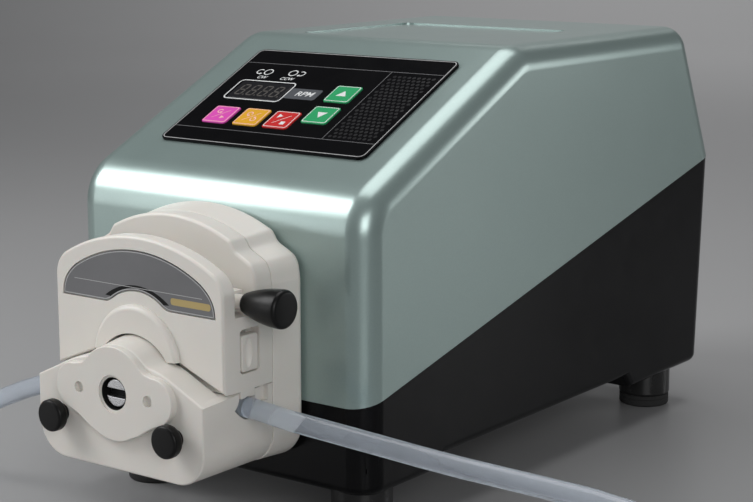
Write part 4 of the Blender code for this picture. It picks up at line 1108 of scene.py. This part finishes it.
lower_solid = raise_back(prism(bell_outline(), -56, -16.3, "front", soft_low=0.8, segments=4))
lower_block = shaped("lower_block_look", lower_solid, lower_steps, smooth=28)
stand_in(lower_block, IVORY, "lower_block")


# ---- pump head, moving block
def arch_outline():
    """The front of the moving block: a low arch over sloping edges and a round opening."""
    right = arc(0, 44, 80, 90, 61.14, 24) + arc(33.3, 104.43, 11, 61.14, 0, 14)[1:]
    right += [Vector((BLOCK_HALF, 67.9)), Vector((21.2, 77))]
    right += arc(0, AXIS_Z, 20, 37.5, 90, 8)
    return mirrored(right)


def label_outline(shrink):
    """The curved nameplate, drawn inwards by the given amount."""
    right = arc(0, 54.2, 64.5 - shrink, 90, 59, 16)
    ends = [(33.2 - shrink * 0.5, 109.5 - shrink * 0.85), (36.3 - shrink * 0.7, 106.9 - shrink * 0.75)]
    ends += [(38.6 - shrink * 0.85, 104.0 - shrink * 0.5), (40.0 - shrink, 100.8 - shrink * 0.3)]
    right += flowing(ends + [(40.5 - shrink, 97.2)], 4)[1:]
    right.append(Vector((40.5 - shrink, 96.6 + shrink)))
    low = 96.6 + shrink
    foot = [(18.6, low), (17.0, low + 0.03), (15.6 + 0.5 * shrink, low + 0.25)]
    right += flowing(foot + [(14.5 + 0.5 * shrink, low + 0.65)], 3)
    right += arc(0, 80.3, 22.1 + shrink, 53, 90, 10)
    return mirrored(right)


def band_outline():
    """The raised crescent over the round opening."""
    right = arc(0, 75, 22.4, 90, 7, 24)
    right += [Vector((18.2, 77.4))]
    right += arc(0, AXIS_Z, 21.4, 35, 90, 16)
    return mirrored(right)


def make_retainer(side):
    """A grip on a stem, with a hollow for a fingertip."""
    edges = (0.0, 0.7) if side > 0 else (0.7, 0.0)
    pad = box_outline(-28.95, 81.8, 9.5, 14.4, 1.4)
    grip = prism(pad, *sorted((side * 40.5, side * 43.9)), "side", *edges)
    dish = [(0.0, -6.4)]
    for angle in range(-75, 76, 15):
        turn = math.radians(angle)
        dish.append((2.6 * math.cos(turn) ** 1.2, 6.4 * math.sin(turn)))
    dish.append((0.0, 6.4))
    stem_low, stem_high = sorted((side * 37.3, side * 40.7))
    steps = add(box((stem_low, -34.7, 66.3), (stem_high, -27.3, 88.9), 0.4))
    steps += cut(lathe(dish, (side * 44.7, -30.1, 82), "Z", 48))
    node = "retainer_left" if side < 0 else "retainer_right"
    stand_in(shaped(node + "_look", grip, steps), IVORY, node, node)


PIVOT_Z = 101.6
POCKET = (-29.5, 82.9, 11.4, 17.4, 1.6)
band = ease_outside(prism(band_outline(), -46.9, -44, "front"))
block_back = prism(high_outline(67.7, 0), -25.4, -16.3, "front", 1.4, 0.3, 5)
upper_steps = add(about(0, BLOCK_HALF, (-41, 67.7), (-17.3, 96.6)), block_back)
upper_steps += cut(
    rod((0, AXIS_Z), 29.5, -40.5, -21.5, steps=96),
    about(0, 33, (-40.5, 60), (-21.5, 80)),
    rod((0, AXIS_Z), 21.5, -52, -39, steps=72),
    rod((0, AXIS_Z), 7.5, -25, -10),
    rod((0, PIVOT_Z), 3.4, -40, -20, steps=32),
    prism(label_outline(0), -50, -43.3, "front"),
)
for side in (-1, 1):
    tongue_low, tongue_high = sorted((side * 41.3, side * 44.2))
    upper_steps += add(box((tongue_low, TUBE_Y - 4.1, 64.75), (tongue_high, TUBE_Y + 4.1, 70)))
    upper_steps += cut(
        tube_room(side),
        about(side * 36.6, 4.6, (TUBE_Y - 4.6, 63), (TUBE_Y + 4.6, 69)),
        prism(box_outline(*POCKET), *sorted((side * 40, side * 50)), "side"),
        about(side * 38.9, 2.1, (-35.2, 60), (-26.8, 91.6)),
        rod((side * ROD_AT[0], ROD_AT[1]), 2.8, 60, 102, "Z", 24),
    )
    make_retainer(side)
upper_steps += add(band)
upper_solid = prism(arch_outline(), -44.5, -37.4, "front", soft_low=1.3, soft_high=0.8, segments=4)
upper_block = shaped("upper_block_look", upper_solid, upper_steps, smooth=28)
stand_in(upper_block, IVORY, "upper_block", "upper_block")

LABEL_FACE_Y = -44.4
plate = prism(label_outline(0.5), LABEL_FACE_Y, -43.6, "front")
stand_in(to_object("label_look", plate, smooth=12), LABEL, "label_plate", "upper_block")


def label_print(name, bm, look):
    """Stands print drawn as (x, z) upright on the nameplate's face."""
    turn = Matrix.Translation((0, LABEL_FACE_Y, 0)) @ Matrix.Rotation(math.radians(90), 4, "X")
    bmesh.ops.transform(bm, matrix=turn, verts=bm.verts)
    dress(to_object(name, bm, smooth=0), look, "upper_block", "label_plate")


outline_ring = flat_ring(label_outline(0.75), label_outline(1.1))
label_print("label_lines", merged([outline_ring, bar(-33.8, 33.8, 103.75, 104.0)]), SILVER_INK)
crescent = arc(0, 76.5, 28.3, 53.1, 126.9, 24) + arc(0, 80.3, 23.3, 127, 53, 24)
label_print("label_shade", flat(crescent), SHADE)
label_print("label_strip", flat(box_outline(27.9, 101.0, 20.2, 2.7, 1.0), 0.04), YELLOW_INK)


# ---- lever
LEVER_Y = -32.5
arm_outline = arc(0, 0, 4.6, 100, 260, 20)
arm_outline += [Vector((12, -4.2)), Vector((40, -3.6)), Vector((40, 4.2)), Vector((12, 4.6))]
arm_outline = [(p.x, p.y + PIVOT_Z) for p in arm_outline]
arm = prism(arm_outline, LEVER_Y - 4.3, LEVER_Y + 4.3, "front", 0.5, 0.5, 3)
knob_at = (0, LEVER_Y, PIVOT_Z + 0.2)
stub = [(0, 38), (3.0, 38), (3.0, 43.6), (3.2, 44.0), (3.2, 45.1), (0, 45.1)]
arm_steps = add(rod((0, PIVOT_Z), 3, LEVER_Y - 4, LEVER_Y + 11.6, steps=32), lathe(stub, knob_at, "X"))
stand_in(shaped("lever_arm_look", arm, arm_steps), IVORY, "lever_arm", "lever")

knob_points = [(0, 45.2), (3.5, 45.2), (3.9, 45.4)]
taper = [(4.0, 45.6), (4.4, 46.5), (5.3, 49.2), (6.4, 53.6), (7.15, 57.9), (7.5, 62.2)]
knob_points += [tuple(p) for p in flowing(taper, 5)]
knob_points += [tuple(p) for p in arc(5.7, 63.2, 1.8, 0, 78, 8)] + [(3.6, 65.15), (0, 65.2)]
knob = lathe(knob_points, knob_at, "X")
stand_in(to_object("lever_knob_look", knob), KNOB_BLACK, "lever_knob", "lever")


# ---- thumb screws
thumb_points = [(0, 64), (3.2, 64.0), (5.3, 63.9)]
thumb_points += [tuple(p) for p in arc(5.4, 62.8, 1.05, 80, 0, 5)]
thumb_points += [(6.5, 61.6), (6.45, 60.4), (6.1, 59.7), (5.4, 59.2), (3.5, 58.6), (3.5, 56.3), (0, 56.3)]
for side, name in ((-1, "left"), (1, "right")):
    screw = lathe(thumb_points, (side * SCREW_AT[0], 0, SCREW_AT[1]), "Y")
    thumb = to_object(f"thumb_knob_{name}_look", screw)
    stand_in(thumb, KNOB_BLACK, f"thumb_knob_{name}", f"thumb_screw_{name}")


# ---- shaft
shaft_points = [(0, 2), (5.7, 2), (5.7, 56.4), (5.2, 57), (0, 57)]
shaft = lathe(shaft_points, (0, 0, AXIS_Z), "Y", 64)
shaft_slot = cut(about(0, 8, (-60, AXIS_Z - 1.7), (-54, AXIS_Z + 1.7)))
stand_in(shaped("rotor_shaft_look", shaft, shaft_slot, ease_by=0.2), STEEL, "rotor_shaft", "rotor")
slot_floor = about(0, 5.3, (-54.15, AXIS_Z - 1.68), (-53.95, AXIS_Z + 1.68))
dress(to_object("shaft_slot_floor", slot_floor, smooth=0), SHADE, "rotor", "rotor_shaft")
# A thin black sleeve lining the boss's bore: painted shade that darkens the bore wall.
bore_shade = lathe([(6.25, 50), (6.5, 50), (6.5, 58.2), (6.25, 58.2), (6.25, 50)], (0, 0, AXIS_Z), "Y", 64)
dress(to_object("boss_bore_shade", bore_shade), SHADE, "drive", "lower_block")


# ---- nodes kept as they are
KEPT = [
    (STEEL, ["rotor_carrier", "motor_coupling", "thumb_stud_left", "thumb_stud_right"]),
    (STEEL, [f"head_screw_{index}" for index in range(1, 5)]),
    # The guide rods take the dark steel so the notches in the lower block's sides read dark: painted
    # shade.
    (DARK_STEEL_AND_SHADE, ["front_bearing", "rear_bearing", "guide_rod_left", "guide_rod_right"]),
    (ALUMINIUM, ["chassis_plate", "power_supply"]),
    (BRUSHED, ["motor_bracket"]),
    (MATTE_BLACK, ["motor_body"]),
    (BOARD, ["drive_board", "display_board"]),
    (ROLLER, [f"roller_{index}" for index in range(1, 4)]),
]
for look, nodes in KEPT:
    for node in nodes:
        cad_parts[node].data.materials.clear()
        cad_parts[node].data.materials.append(look)


# ---- stage and light
def make_stage():
    """A pale table running back into a curved backdrop."""
    profile = [(-3.0, 0.0)] + [tuple(p) for p in arc(2.2, 1.4, 1.4, -90, 0, 16)] + [(3.6, 4.0)]
    bm = bmesh.new()
    rows = []
    for y, z in profile:
        rows.append([bm.verts.new((x, y, z)) for x in (-5, 5)])
    for one, two in zip(rows, rows[1:]):
        bm.faces.new((one[0], one[1], two[1], two[0]))
    mesh = bpy.data.meshes.new("stage")
    bm.to_mesh(mesh)
    bm.free()
    mesh.shade_smooth()
    made = placed("stage", mesh)
    made.rotation_euler = (0, 0, math.radians(CAMERA_AZIMUTH))
    look = Look("stage_card", (0.33, 0.33, 0.333), 0.36, Specular_IOR_Level=0.3)
    look.vary_colour(look.noise(2, 2), 0.99, 1.01)
    made.data.materials.append(look.material)


def area_light(name, spot, target, size, power):
    """A white panel at a spot in the row frame, facing the target."""
    data = bpy.data.lights.new(name, "AREA")
    data.shape = "RECTANGLE"
    data.size, data.size_y = size
    data.energy = power
    made = placed(name, data)
    made.location = spot
    made.rotation_euler = (Vector(target) - Vector(spot)).to_track_quat("-Z", "Y").to_euler()


make_stage()
area_light("key_light", (-0.75, -0.60, 0.80), (0, 0, 0.1), (0.5, 0.6), 8.0)
area_light("low_left_light", (-0.66, -0.84, 0.24), (-0.05, -0.1, 0.2), (0.35, 0.4), 1.0)
area_light("top_light", (-0.02, 0.15, 1.15), (0, 0.05, 0.1), (0.8, 0.9), 5.8)
area_light("right_fill", (0.95, -0.85, 0.50), (0.05, -0.1, 0.1), (0.6, 0.6), 5.2)
area_light("side_light", (1.15, 1.30, 0.36), (0.08, -0.05, 0.12), (0.4, 0.5), 2.6)
area_light("backdrop_light", (-0.8, 2.1, 1.5), (-1.1, 2.8, 0), (1.6, 1.2), 20)

world = bpy.data.worlds.new("studio")
world.use_nodes = True
sky = world.node_tree.nodes["Background"]
sky.inputs["Color"].default_value = (0.80, 0.82, 0.85, 1)
sky.inputs["Strength"].default_value = 0.19
bpy.context.scene.world = world
bpy.context.scene.view_settings.view_transform = "Standard"
